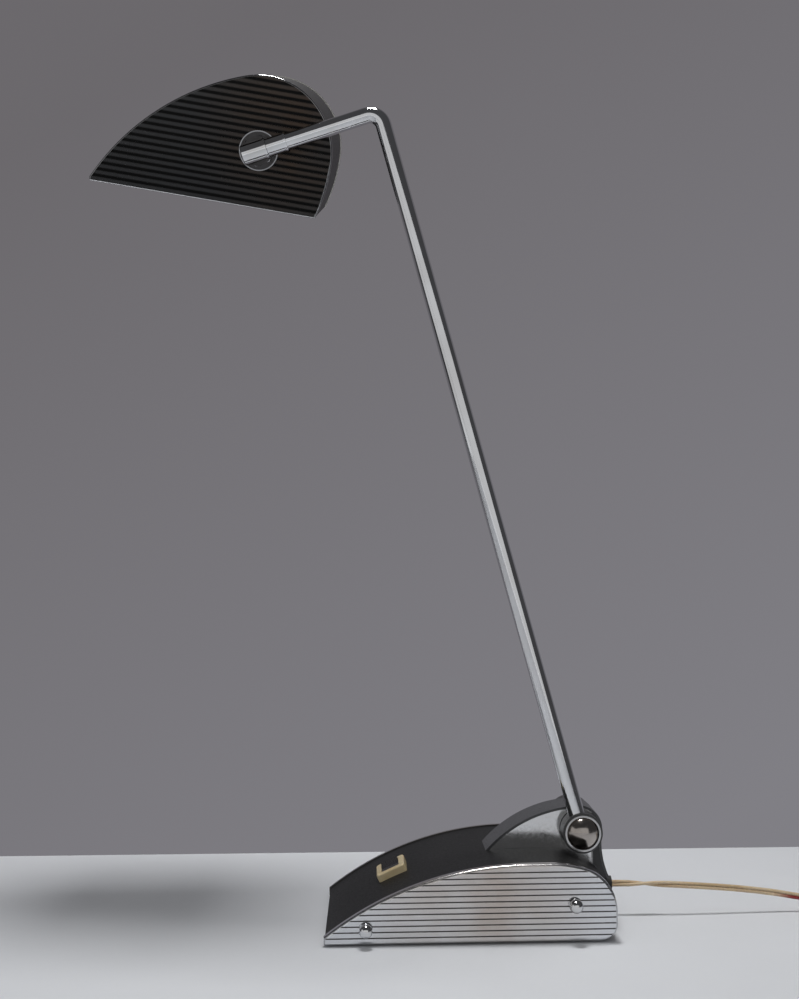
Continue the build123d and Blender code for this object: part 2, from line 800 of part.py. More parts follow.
def lamp_holder():
    """Moulded cup on the nipple, open toward the bulb."""
    place = (0, 0)
    cup = cross_rod(place, holder_start, glass_start, holder_diameter / 2)
    cup -= cross_rod(place, holder_start + holder_floor, glass_start, holder_diameter / 2 - holder_wall)
    cup -= cross_rod(place, holder_start, holder_start + holder_floor, nipple_diameter / 2 + seat_clearance)
    return head_plane * cup


def holder_liner():
    """Threaded metal liner of the holder, round the bulb cap."""
    near = holder_start + holder_floor
    place = (0, 0)
    liner = cross_rod(place, near, glass_start, holder_diameter / 2 - holder_wall)
    liner -= cross_rod(place, bulb_start, glass_start, bulb_cap_diameter / 2 + seat_clearance)
    liner -= cross_rod(place, near, near + contact_height, contact_diameter / 2 + seat_clearance)
    return head_plane * liner


def holder_contact():
    """Centre contact at the bottom of the holder."""
    near = holder_start + holder_floor
    return head_plane * cross_rod((0, 0), near, near + contact_height, contact_diameter / 2)


def holder_ring():
    """Ring screwed on the outside of the holder."""
    near = glass_start - holder_ring_setback - holder_ring_length
    place = (0, 0)
    ring = cross_rod(place, near, near + holder_ring_length, holder_ring_diameter / 2)
    ring -= cross_rod(place, near, near + holder_ring_length, holder_diameter / 2 + seat_clearance)
    return head_plane * ring


def bulb_cap():
    """Screw cap of the bulb."""
    return head_plane * cross_rod((0, 0), bulb_start, glass_start, bulb_cap_diameter / 2)


def bulb_glass():
    """Round bulb on a short neck."""
    radius = bulb_diameter / 2
    neck_end = glass_start + bulb_neck_length
    neck = bulb_neck_diameter / 2
    centre = neck_end + math.sqrt(radius ** 2 - neck ** 2)
    glass = Pos(0, centre, 0) * Sphere(radius)
    glass += cross_rod((0, 0), glass_start, centre, neck)
    return head_plane * glass


def cord_grommet():
    """Bush where the cord leaves the rear of the base."""
    end = exit_x + grommet_stand
    start = exit_x - skin_thickness - grommet_inside
    level = cord_exit_height
    flange = rod((heel_x, 0, level), (end, 0, level), grommet_diameter / 2) - skin_prism
    neck = rod((start, 0, level), (end, 0, level), grommet_neck / 2)
    return flange + neck - rod((start, 0, level), (end, 0, level), cord_diameter / 2 + seat_clearance)


clamp_x = half_length - clamp_setback


def cord_clamp():
    """Post on the base plate that grips the cord."""
    low = (clamp_x, -clamp_width / 2, floor_inside)
    high = (clamp_x + clamp_length, clamp_width / 2, cord_exit_height + clamp_crown)
    end = (clamp_x + clamp_length, 0, cord_exit_height)
    return block(low, high) - rod((clamp_x, 0, cord_exit_height), end, cord_diameter / 2 + seat_clearance)


# The coil stands on its tie, and its first turn starts where the lead ends
coil_low = cord_diameter / 2 + tie_slack + tie_thickness
coil_centre = Vector(coil_place, coil_outer_radius)
coil_levels = len(coil_layer_turns)
coil_top = coil_low + (coil_levels - 1) * coil_layer_pitch
coil_start = Vector(coil_centre.X, 0, coil_low)
lead_points = [
    (clamp_x, 0, cord_exit_height),
    (101, 0, cord_exit_height),
    (139, -1.6, 18.0),
    (182, 0.6, 13.8),
    (213, 0.8, 8.4),
    (240, 0, coil_low),
    (coil_start.X - cord_diameter, 0, coil_low),
]


def cord_path(points):
    """Straight runs joined by arcs as large as the runs allow."""
    corners = [Vector(*point) for point in points]
    radii = []
    for before, here, after in zip(corners, corners[1:], corners[2:]):
        turn = math.radians((here - before).get_angle(after - here))
        run = min((here - before).length, (after - here).length)
        radii.append(0.45 * run / math.tan(turn / 2))
    print("cord radii", [round(radius, 1) for radius in radii])
    return FilletPolyline(*corners, radius=radii)


def coil_stations():
    """Place and direction of the coil at each quarter turn, spiralling in and out layer by layer."""
    places = []
    radius = coil_outer_radius
    level = coil_low
    step = coil_turn_pitch / 4
    for layer, turns in enumerate(coil_layer_turns):
        inward = -1 if layer % 2 == 0 else 1
        places += [(radius + inward * step * index, level) for index in range(round(4 * turns))]
        radius += inward * step * round(4 * turns)
        if layer < coil_levels - 1:
            places += [(radius, level), (radius, level + coil_layer_pitch / 2)]
            level += coil_layer_pitch
    places.append((radius, level))
    stations = []
    for index, (reach, height) in enumerate(places):
        before = places[max(index - 1, 0)]
        after = places[min(index + 1, len(places) - 1)]
        turn = math.pi / 2 * (index - 1)
        out = Vector(math.cos(turn), math.sin(turn))
        round_about = Vector(-math.sin(turn), math.cos(turn))
        flat_end = index in (0, len(places) - 1) or height in (before[1], after[1])
        climb = 0 if flat_end else (after[1] - before[1]) / math.pi
        widen = 0 if index in (0, len(places) - 1) else (after[0] - before[0]) / math.pi
        place = Vector(coil_centre.X, coil_centre.Y, height) + out * reach
        direction = out * widen + round_about * reach + Vector(0, 0, climb)
        stations.append((place, direction.normalized()))
    return stations


def biarc(start, start_direction, end, end_direction):
    """Two arcs that leave one place and reach another in given directions."""
    chord = end - start
    spread = 2 * (1 - start_direction.dot(end_direction))
    lean = chord.dot(start_direction + end_direction)
    reach = (math.sqrt(lean ** 2 + spread * chord.dot(chord)) - lean) / spread
    first = start + start_direction * reach
    last = end - end_direction * reach
    middle = (first + last) * 0.5
    return [
        Edge.make_tangent_arc(start, start_direction, middle),
        Edge.make_tangent_arc(middle, last - first, end),
    ]


def self_gap(edges):
    """Least gap between stretches of the coil that are more than a few diameters apart along it."""
    samples = [edge @ (step / 16) for edge in edges for step in range(16)]
    points = numpy.array([tuple(sample) for sample in samples])
    steps = numpy.linalg.norm(numpy.diff(points, axis=0), axis=1)
    along = numpy.concatenate([[0], numpy.cumsum(steps)])
    apart = numpy.linalg.norm(points[:, None] - points[None], axis=2)
    apart[numpy.abs(along[:, None] - along[None]) < 5 * cord_diameter] = numpy.inf
    return apart.min() - cord_diameter


stations = coil_stations()
coil_edges = []
for one, other in zip(stations, stations[1:]):
    coil_edges += biarc(one[0], one[1], other[0], other[1])
coil_end, coil_end_direction = stations[-1]
coil_out = coil_end + coil_end_direction * cord_diameter
coil_edges.insert(0, Edge.make_line(coil_start - Vector(cord_diameter, 0, 0), coil_start))
coil_edges.append(Edge.make_line(coil_end, coil_out))
coil_gap = self_gap(coil_edges)
plug_level = plug_height / 2
plug_start = Vector(plug_place, plug_side, plug_level)
tail_points = [
    tuple(coil_out),
    (coil_out.X + tail_run_out, coil_out.Y, coil_out.Z),
    (308, -1.2, 12.2),
    (plug_start.X - tail_run_in, plug_start.Y, plug_level),
    tuple(plug_start),
]


def cord_tube(name, path):
    """A cord's round tube along its path, with its volume compared with section times length."""
    tube = swept_round(path, cord_diameter / 2)
    expected = math.pi * cord_diameter ** 2 / 4 * path.length
    print(name, "length", round(path.length, 1), "volume ratio", round(tube.volume / expected, 4))
    return tube


def coil_tie():
    """Flat band round all the turns of the coil."""
    reaches = [(place - coil_centre - Vector(0, 0, place.Z)).length for place, _ in stations]
    slack = cord_diameter / 2 + tie_slack
    middle = coil_centre.Y
    inner_low = Vector(coil_centre.X - max(reaches) - slack, middle - tie_width / 2, coil_low - slack)
    inner_high = Vector(coil_centre.X - min(reaches) + slack, middle + tie_width / 2, coil_top + slack)
    wall = Vector(tie_thickness, 0, tie_thickness)
    return block(inner_low - wall, inner_high + wall) - block(inner_low, inner_high)


def plug_body():
    """Flat two-pin plug with a sleeve for the cord, lying on the floor."""
    low = plug_start + Vector(plug_sleeve_length, -plug_width / 2, -plug_height / 2)
    body = block(low, low + Vector(plug_length, plug_width, plug_height))
    body = fillet(body.edges().filter_by(Axis.Z), plug_corner)
    body += rod(plug_start, plug_start + Vector(plug_sleeve_length, 0, 0), plug_sleeve_diameter / 2)
    for start, end in plug_pin_lines():
        body -= rod(start, end, plug_pin_diameter / 2 + seat_clearance)
    return body


def plug_pin_lines():
    """Centre lines of the two pins, from inside the body outward."""
    face = plug_start + Vector(plug_sleeve_length + plug_length, 0, 0)
    lines = []
    for side in (-1, 1):
        shift = Vector(0, side * plug_pin_pitch / 2, 0)
        centre = face + shift
        lines.append((centre - Vector(plug_pin_bite, 0, 0), centre + Vector(plug_pin_length, 0, 0)))
    return lines


def plug_pins():
    """Two round pins."""
    return [rod(start, end, plug_pin_diameter / 2) for start, end in plug_pin_lines()]


lead_path = cord_path(lead_points)
tail_path = cord_path(tail_points)
coil_path = Wire(coil_edges)
cord_length = lead_path.length + coil_path.length + tail_path.length
print("coil gap", round(coil_gap, 2), "cord length", round(cord_length))

pieces = {
    "near_side_plate": side_plate(-1),
    "far_side_plate": side_plate(1),
    "base_skin": base_skin(),
    "base_plate": base_plate(),
    "felt_pad": felt_pad(),
    "base_screws": base_screws(),
    "ballast_block": ballast_block(),
    "terminal_block": terminal_block(),
    "tie_rods": tie_rods(),
    "near_ball_nuts": ball_nuts(-1),
    "far_ball_nuts": ball_nuts(1),
    "switch_bezel": switch_bezel(),
    "switch_body": switch_body(),
    "switch_rocker": switch_rocker(),
    "bracket_strap": bracket_strap(),
    "near_bracket_cheek": bracket_cheek(-1),
    "far_bracket_cheek": bracket_cheek(1),
    "bracket_block": bracket_block(),
    "bracket_screws": bracket_screws(),
    "hinge_axle": hinge_axle(),
    "friction_washers": friction_washers(),
    "hinge_hub": hinge_hub(),
    "far_barrel_cap": far_barrel_cap(),
    "near_cap_ring": cap_ring(hub_outer, -1),
    "far_cap_ring": cap_ring(cap_outer, 1),
    "near_dome_nut": dome_nut(hub_outer, -1),
    "far_dome_nut": dome_nut(cap_outer, 1),
    "stem_tube": stem_tube(),
    "stem_wire": stem_wire(),
    "swivel_ferrule": swivel_ferrule(),
    "swivel_boss": swivel_boss(),
    "pivot_nipple": pivot_nipple(),
    "pivot_nut": pivot_nut(),
    "pivot_washer": pivot_washer(),
    "spring_washer": spring_washer(),
    "near_shade_plate": near_shade_plate(),
    "far_shade_plate": far_shade_plate(),
    "shade_skin": shade_skin(),
    "lamp_holder": lamp_holder(),
    "holder_liner": holder_liner(),
    "holder_contact": holder_contact(),
    "holder_ring": holder_ring(),
    "bulb_cap": bulb_cap(),
    "bulb_glass": bulb_glass(),
    "cord_grommet": cord_grommet(),
    "cord_clamp": cord_clamp(),
    "cord_lead": cord_tube("cord_lead", lead_path),
    "cord_coil": cord_tube("cord_coil", coil_path),
    "cord_tail": cord_tube("cord_tail", tail_path),
    "coil_tie": coil_tie(),
    "plug_body": plug_body(),
    "plug_pins": plug_pins(),
}
for name, shape in pieces.items():
    solids = shape if isinstance(shape, list) else [shape]
    body = solids[0] if len(solids) == 1 else Compound(children=solids)
    export_step(body, "parts/" + name + ".step")
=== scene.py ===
import json
import math

import bmesh
import bpy
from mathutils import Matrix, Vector


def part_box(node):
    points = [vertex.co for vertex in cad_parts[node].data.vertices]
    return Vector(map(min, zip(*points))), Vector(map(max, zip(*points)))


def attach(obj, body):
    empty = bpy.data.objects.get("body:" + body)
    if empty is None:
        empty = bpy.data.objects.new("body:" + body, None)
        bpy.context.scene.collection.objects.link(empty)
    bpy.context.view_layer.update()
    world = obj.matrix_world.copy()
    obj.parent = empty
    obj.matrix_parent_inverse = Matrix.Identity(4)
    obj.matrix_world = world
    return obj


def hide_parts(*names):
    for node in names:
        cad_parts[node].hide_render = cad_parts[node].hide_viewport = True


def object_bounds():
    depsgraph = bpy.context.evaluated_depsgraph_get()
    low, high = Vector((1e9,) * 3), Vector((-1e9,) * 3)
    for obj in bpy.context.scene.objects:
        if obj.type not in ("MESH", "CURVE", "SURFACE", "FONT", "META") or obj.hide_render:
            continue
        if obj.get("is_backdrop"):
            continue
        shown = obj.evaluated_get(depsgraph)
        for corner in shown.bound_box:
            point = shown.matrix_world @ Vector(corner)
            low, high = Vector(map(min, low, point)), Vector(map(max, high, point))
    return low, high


# The lamp as it was packed, in metres, standing on z = 0 with the low tip of its base toward -X
# and the side that the camera sees toward -Y.
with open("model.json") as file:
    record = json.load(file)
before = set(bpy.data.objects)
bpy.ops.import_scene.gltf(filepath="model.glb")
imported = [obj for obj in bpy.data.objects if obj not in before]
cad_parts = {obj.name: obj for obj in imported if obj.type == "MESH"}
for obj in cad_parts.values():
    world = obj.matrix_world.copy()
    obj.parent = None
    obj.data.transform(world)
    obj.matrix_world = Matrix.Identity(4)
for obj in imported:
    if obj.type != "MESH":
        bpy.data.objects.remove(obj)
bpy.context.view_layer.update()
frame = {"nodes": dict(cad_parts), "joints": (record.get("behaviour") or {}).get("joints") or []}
nodes = frame["nodes"]
scene = bpy.context.scene
scene.view_settings.view_transform = "Standard"
bpy.ops.object.select_all(action="DESELECT")


# Base plate: the floor of the base, a sheet of bare cold-rolled steel that carries the ballast and the clamp.
# Rolling has left faint, dull streaks along it.
def start_finish(name, colour, metallic, roughness):
    """A new material and its shader, with one colour, metalness and roughness to begin with."""
    material = bpy.data.materials.new(name)
    material.use_nodes = True
    shader = material.node_tree.nodes["Principled BSDF"]
    shader.inputs["Base Color"].default_value = (*colour, 1)
    shader.inputs["Metallic"].default_value = metallic
    shader.inputs["Roughness"].default_value = roughness
    return material, shader


def add_node(material, kind, settings=None, inputs=None):
    """One more node in a material, with its settings and its fixed inputs."""
    node = material.node_tree.nodes.new(kind)
    for name, value in (settings or {}).items():
        setattr(node, name, value)
    for name, value in (inputs or {}).items():
        node.inputs[name].default_value = value
    return node


def join(material, start, end):
    """A link from an output to an input of a material's nodes."""
    material.node_tree.links.new(start, end)


def grain(material, scale, detail=3.0, stretch=(1, 1, 1)):
    """Cloudy noise fixed to the piece, drawn out along its axes by a stretch."""
    place = add_node(material, "ShaderNodeTexCoord")
    drawn = add_node(material, "ShaderNodeMapping", inputs={"Scale": stretch})
    noise = add_node(material, "ShaderNodeTexNoise", inputs={"Scale": scale, "Detail": detail})
    join(material, place.outputs["Object"], drawn.inputs["Vector"])
    join(material, drawn.outputs["Vector"], noise.inputs["Vector"])
    return noise.outputs["Fac"]


def spread(material, value, low, high, bottom, top):
    """A value taken from one range to another, held at both ends."""
    reach = add_node(material, "ShaderNodeMapRange",
                     inputs={"From Min": low, "From Max": high, "To Min": bottom, "To Max": top})
    join(material, value, reach.inputs["Value"])
    return reach.outputs["Result"]


def blend_colours(material, share, first, second):
    """A colour between two, each a fixed colour or another node's."""
    mix = add_node(material, "ShaderNodeMix", {"data_type": "RGBA"})
    join(material, share, mix.inputs["Factor"])
    for name, colour in (("A", first), ("B", second)):
        if isinstance(colour, tuple):
            mix.inputs[name].default_value = (*colour, 1)
        else:
            join(material, colour, mix.inputs[name])
    return mix.outputs["Result"]


def raise_surface(material, below, height, distance):
    """Small relief in the shading of a surface, put into its shader or under another relief."""
    bump = add_node(material, "ShaderNodeBump", inputs={"Strength": 1.0, "Distance": distance})
    join(material, height, bump.inputs["Height"])
    join(material, bump.outputs["Normal"], below.inputs["Normal"])
    return bump


def worn_finish(name, colours, metallic, roughness, cloud, fine, relief, stretch=(1, 1, 1)):
    """A finish that wanders between two colours and two roughnesses, with a fine relief."""
    material, shader = start_finish(name, colours[0], metallic, roughness[0])
    drift = spread(material, grain(material, cloud, 4.0, stretch), 0.3, 0.7, 0, 1)
    join(material, blend_colours(material, drift, *colours), shader.inputs["Base Color"])
    speckle = grain(material, fine, 3.0, stretch)
    join(material, spread(material, speckle, 0.3, 0.7, *roughness), shader.inputs["Roughness"])
    raise_surface(material, shader, speckle, relief)
    return material, shader


def dress(material, *names):
    """Gives CAD nodes their finish."""
    for name in names:
        nodes[name].data.materials.clear()
        nodes[name].data.materials.append(material)


rolled_steel, _ = worn_finish(
    "rolled_steel", ((0.36, 0.36, 0.37), (0.47, 0.46, 0.45)), metallic=1,
    roughness=(0.32, 0.5), cloud=30, fine=900, relief=0.00001, stretch=(0.2, 1, 1))
dress(rolled_steel, "base_plate")

# Ballast: a block of grey cast iron bolted to the base plate so that the lamp can lean out.
# Left as it came from the sand, with a rough, dull, slightly rusty skin.
cast_iron, _ = worn_finish(
    "cast_iron", ((0.055, 0.05, 0.048), (0.11, 0.075, 0.055)), metallic=0.7,
    roughness=(0.6, 0.85), cloud=45, fine=700, relief=0.0002)
dress(cast_iron, "ballast_block")

# Fasteners and rods: zinc-plated steel screws, tie rods, axle, nipple and spring washers,
# turned or headed, dull where a spanner or a thread has rubbed them.
zinc_plate, _ = worn_finish(
    "zinc_plate", ((0.42, 0.43, 0.44), (0.56, 0.56, 0.55)), metallic=1,
    roughness=(0.22, 0.42), cloud=120, fine=1500, relief=0.00001)
dress(zinc_plate, "base_screws", "tie_rods", "bracket_screws", "hinge_axle", "friction_washers",
      "spring_washer", "pivot_nipple")

# Terminal block and clamp: black moulded phenolic, screwed to the base plate where the cord comes in.
# Matt, with a very fine mould texture.
phenolic, phenolic_shader = worn_finish(
    "black_phenolic", ((0.010, 0.010, 0.011), (0.018, 0.017, 0.016)), metallic=0,
    roughness=(0.38, 0.52), cloud=60, fine=2500, relief=0.00001)
phenolic_shader.inputs["Specular IOR Level"].default_value = 0.4
dress(phenolic, "terminal_block", "cord_clamp")


# Base side plates: two thick plates, grooved lengthways inside a plain raised rim, polished and chromed.
# The groove floors are painted dark as painted shade, the polish is streaky, and a warm patch in the middle
# is a painted reflection.
def facing(material, axis, low, high):
    """How far a surface looks along an axis of the piece, from 0 to 1."""
    place = add_node(material, "ShaderNodeTexCoord")
    along = add_node(material, "ShaderNodeVectorMath", {"operation": "DOT_PRODUCT"})
    along.inputs[1].default_value = axis
    size = add_node(material, "ShaderNodeMath", {"operation": "ABSOLUTE"})
    join(material, place.outputs["Normal"], along.inputs[0])
    join(material, along.outputs["Value"], size.inputs[0])
    return spread(material, size.outputs["Value"], low, high, 0, 1)


def distance_along(material, origin, axis):
    """How far a point of the piece lies from an origin, along an axis."""
    place = add_node(material, "ShaderNodeTexCoord")
    offset = add_node(material, "ShaderNodeVectorMath", {"operation": "SUBTRACT"})
    offset.inputs[1].default_value = origin
    along = add_node(material, "ShaderNodeVectorMath", {"operation": "DOT_PRODUCT"})
    along.inputs[1].default_value = axis
    join(material, place.outputs["Object"], offset.inputs[0])
    join(material, offset.outputs["Vector"], along.inputs[0])
    return along.outputs["Value"]


def distance_from(material, point):
    """How far a point of the piece lies from a given point."""
    place = add_node(material, "ShaderNodeTexCoord")
    reach = add_node(material, "ShaderNodeVectorMath", {"operation": "DISTANCE"})
    reach.inputs[1].default_value = point
    join(material, place.outputs["Object"], reach.inputs[0])
    return reach.outputs["Value"]


def combine(material, operation, first, second=0):
    """One step of arithmetic on one or two values, each a number or another node's."""
    node = add_node(material, "ShaderNodeMath", {"operation": operation})
    for socket, value in zip(node.inputs, (first, second)):
        if isinstance(value, (int, float)):
            socket.default_value = value
        else:
            join(material, value, socket)
    return node.outputs["Value"]


def both(material, first, second):
    """Two shares of a surface multiplied, so that only what lies in both is left."""
    return combine(material, "MULTIPLY", first, second)


def left_over(material, share):
    """What a share of a surface leaves of the whole."""
    return combine(material, "SUBTRACT", 1, share)


def between_grooves(material, first, axis, pitch):
    """How far a point lies from the middle between two grooves, from -0.5 to 0.5 of their pitch."""
    rows = combine(material, "DIVIDE", distance_along(material, first, axis), pitch)
    return combine(material, "SUBTRACT", combine(material, "FRACT", rows), 0.5)


groove_depth = 0.0006
groove_pitch = 0.00327
groove_first = 0.0050
rib_crown = 0.00004
warm_patch_x = 0.004
warm_patch_z = 0.020
for side, name in ((-1, "near_side_plate"), (1, "far_side_plate")):
    low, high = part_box(name)
    face = low[1] if side < 0 else high[1]
    plate_chrome, plate_shader = start_finish(f"{name}_chrome", (0.70, 0.71, 0.73), 1, 0.12)
    streaks = grain(plate_chrome, 1.0, 5.0, (45, 45, 1500))
    patches = spread(plate_chrome, grain(plate_chrome, 26, 3.0), 0.32, 0.62, 0.35, 1)
    # Painted reflection: a warm brown patch in the middle of each plate.
    middle = spread(plate_chrome, distance_from(plate_chrome, (warm_patch_x, face, warm_patch_z)), 0.02, 0.075, 1, 0)
    painted_warm_patch = both(plate_chrome, middle, patches)
    metal = blend_colours(plate_chrome, painted_warm_patch, (0.70, 0.715, 0.74), (0.52, 0.465, 0.425))
    depth = both(plate_chrome, distance_along(plate_chrome, (0, face, 0), (0, 1, 0)), -side)
    sunk = spread(plate_chrome, depth, groove_depth * 0.35, groove_depth * 0.7, 0, 1)
    # Painted shade: the groove floors are painted dark and dulled.
    painted_groove_shade = both(plate_chrome, sunk, facing(plate_chrome, (0, 1, 0), 0.55, 0.9))
    plate_colour = blend_colours(plate_chrome, painted_groove_shade, metal, (0.11, 0.105, 0.102))
    join(plate_chrome, plate_colour, plate_shader.inputs["Base Color"])
    polish = spread(plate_chrome, streaks, 0.3, 0.7, 0.07, 0.17)
    for share, dulling in ((painted_warm_patch, 0.10), (painted_groove_shade, 0.3)):
        polish = combine(plate_chrome, "ADD", polish, both(plate_chrome, share, dulling))
    join(plate_chrome, polish, plate_shader.inputs["Roughness"])
    off_middle = between_grooves(plate_chrome, (0, 0, groove_first), (0, 0, 1), groove_pitch)
    crown = both(plate_chrome, both(plate_chrome, off_middle, off_middle), -4)
    flat_face = left_over(plate_chrome, spread(plate_chrome, depth, 0.0001, 0.0003, 0, 1))
    ribs = raise_surface(plate_chrome, plate_shader, both(plate_chrome, crown, flat_face), rib_crown)
    raise_surface(plate_chrome, ribs, streaks, 0.000004)
    dress(plate_chrome, name)


# Chromed turnings: the ball nuts of the side plates and the ferrule and boss of the swivel, turned in brass
# or steel, polished and chromed. A slight waviness and faint pits keep the reflections alive.
def bright_chrome(name, colours, roughness, wave, pits):
    """Plating whose polish is slightly uneven, with shallow waves and fine pits."""
    material, shader = start_finish(name, colours[0], 1, roughness[0])
    clouds = spread(material, grain(material, 55, 4.0), 0.35, 0.7, 0, 1)
    join(material, blend_colours(material, clouds, *colours), shader.inputs["Base Color"])
    polish = spread(material, grain(material, 420, 4.0), 0.35, 0.72, *roughness)
    join(material, polish, shader.inputs["Roughness"])
    waves = raise_surface(material, shader, grain(material, 70, 1.0), wave)
    raise_surface(material, waves, grain(material, 1600, 2.0), pits)
    return material


turned_chrome = bright_chrome("turned_chrome", ((0.70, 0.71, 0.73), (0.62, 0.61, 0.60)),
                              roughness=(0.05, 0.13), wave=0.00002, pits=0.000002)
dress(turned_chrome, "near_ball_nuts", "far_ball_nuts", "swivel_ferrule", "swivel_boss")

# Base skin: one strip of sheet steel bent over the top of the base between the side plates,
# sprayed satin black. The lacquer has a faint orange peel and slightly greyer, rubbed patches.
satin_lacquer, satin_shader = worn_finish(
    "satin_black_lacquer", ((0.0075, 0.0075, 0.0077), (0.0115, 0.0115, 0.0117)), metallic=0,
    roughness=(0.42, 0.54), cloud=22, fine=800, relief=0.000012)
satin_shader.inputs["Specular IOR Level"].default_value = 0.2
dress(satin_lacquer, "base_skin")

# Switch: a rocker switch set in the slope of the skin. Its frame is moulded ivory plastic, a little yellowed,
# and the body and rocker are glossy black plastic.
ivory, ivory_shader = worn_finish(
    "yellowed_ivory", ((0.56, 0.475, 0.30), (0.49, 0.39, 0.22)), metallic=0,
    roughness=(0.28, 0.42), cloud=95, fine=1400, relief=0.000006)
ivory_shader.inputs["Subsurface Weight"].default_value = 0.08
ivory_shader.inputs["Subsurface Radius"].default_value = (0.002, 0.0014, 0.0008)
ivory_shader.inputs["Subsurface Scale"].default_value = 1.0
dress(ivory, "switch_bezel")
gloss_black, gloss_shader = worn_finish(
    "gloss_black_plastic", ((0.008, 0.008, 0.009), (0.014, 0.013, 0.013)), metallic=0,
    roughness=(0.22, 0.34), cloud=80, fine=1800, relief=0.000004)
gloss_shader.inputs["Specular IOR Level"].default_value = 0.45
dress(gloss_black, "switch_body", "switch_rocker")

# Bracket and hinge: a bent steel strap between two cheeks, on a steel block screwed down through the skin.
# Hub, far cap and strap have a thick, glossy black enamel; the strap's is painted lighter grey as painted
# light.
# The cheeks are chromed in front of the hinge and painted black behind it as painted shade.
gloss_enamel, enamel_shader = worn_finish(
    "gloss_black_enamel", ((0.016, 0.016, 0.017), (0.024, 0.024, 0.0245)), metallic=0,
    roughness=(0.24, 0.36), cloud=40, fine=900, relief=0.000008)
enamel_shader.inputs["Specular IOR Level"].default_value = 0.62
dress(gloss_enamel, "hinge_hub", "far_barrel_cap")
# Painted light: the strap's enamel is a lighter copy of the hub's, for the light its top catches.
painted_lit_enamel, painted_lit_enamel_shader = worn_finish(
    "painted_lit_black_enamel", ((0.034, 0.035, 0.038), (0.048, 0.049, 0.052)), metallic=0,
    roughness=(0.26, 0.38), cloud=40, fine=900, relief=0.000008)
painted_lit_enamel_shader.inputs["Specular IOR Level"].default_value = 0.6
dress(painted_lit_enamel, "bracket_strap")
dress(rolled_steel, "bracket_block")

chrome_end = 0.0775
chrome_fade = 0.0008
cheek_chrome, cheek_shader = start_finish("cheek_chrome", (0.70, 0.71, 0.73), 1, 0.1)
# Painted shade: behind the hinge the cheeks are painted black.
behind = distance_along(cheek_chrome, (chrome_end, 0, 0), (1, 0, 0))
bright = spread(cheek_chrome, behind, -chrome_fade, chrome_fade, 1, 0)
smeared = blend_colours(cheek_chrome, grain(cheek_chrome, 70, 4.0), (0.72, 0.73, 0.75), (0.62, 0.61, 0.60))
cheek_colour = blend_colours(cheek_chrome, bright, (0.014, 0.014, 0.015), smeared)
cheek_polish = spread(cheek_chrome, grain(cheek_chrome, 500, 3.0), 0.3, 0.7, 0.08, 0.2)
join(cheek_chrome, cheek_colour, cheek_shader.inputs["Base Color"])
join(cheek_chrome, bright, cheek_shader.inputs["Metallic"])
join(cheek_chrome, cheek_polish, cheek_shader.inputs["Roughness"])
dress(cheek_chrome, "near_bracket_cheek", "far_bracket_cheek")

# Dome nuts and cap rings: the round caps on the ends of the hinge axle, spun in brass and nickelled,
# each in a chromed ring. The nickel has gone brown and soft, and the rings have dulled.
old_nickel = bright_chrome("old_nickel", ((0.44, 0.41, 0.385), (0.30, 0.265, 0.24)),
                           roughness=(0.12, 0.24), wave=0.00003, pits=0.000003)
dress(old_nickel, "near_dome_nut", "far_dome_nut")
dull_chrome = bright_chrome("dull_chrome", ((0.52, 0.52, 0.525), (0.40, 0.39, 0.385)),
                            roughness=(0.10, 0.2), wave=0.00002, pits=0.000002)
dress(dull_chrome, "near_cap_ring", "far_cap_ring")

# Stem: one chromed steel tube that stands in the hinge and is bent at the top into the arm of the shade.
# Its wire runs inside it. The chrome is the brightest on the lamp, with long faint polishing waves.
stem_chrome = bright_chrome("stem_chrome", ((0.72, 0.73, 0.75), (0.66, 0.66, 0.67)),
                            roughness=(0.045, 0.10), wave=0.00002, pits=0.0000015)
dress(stem_chrome, "stem_tube")
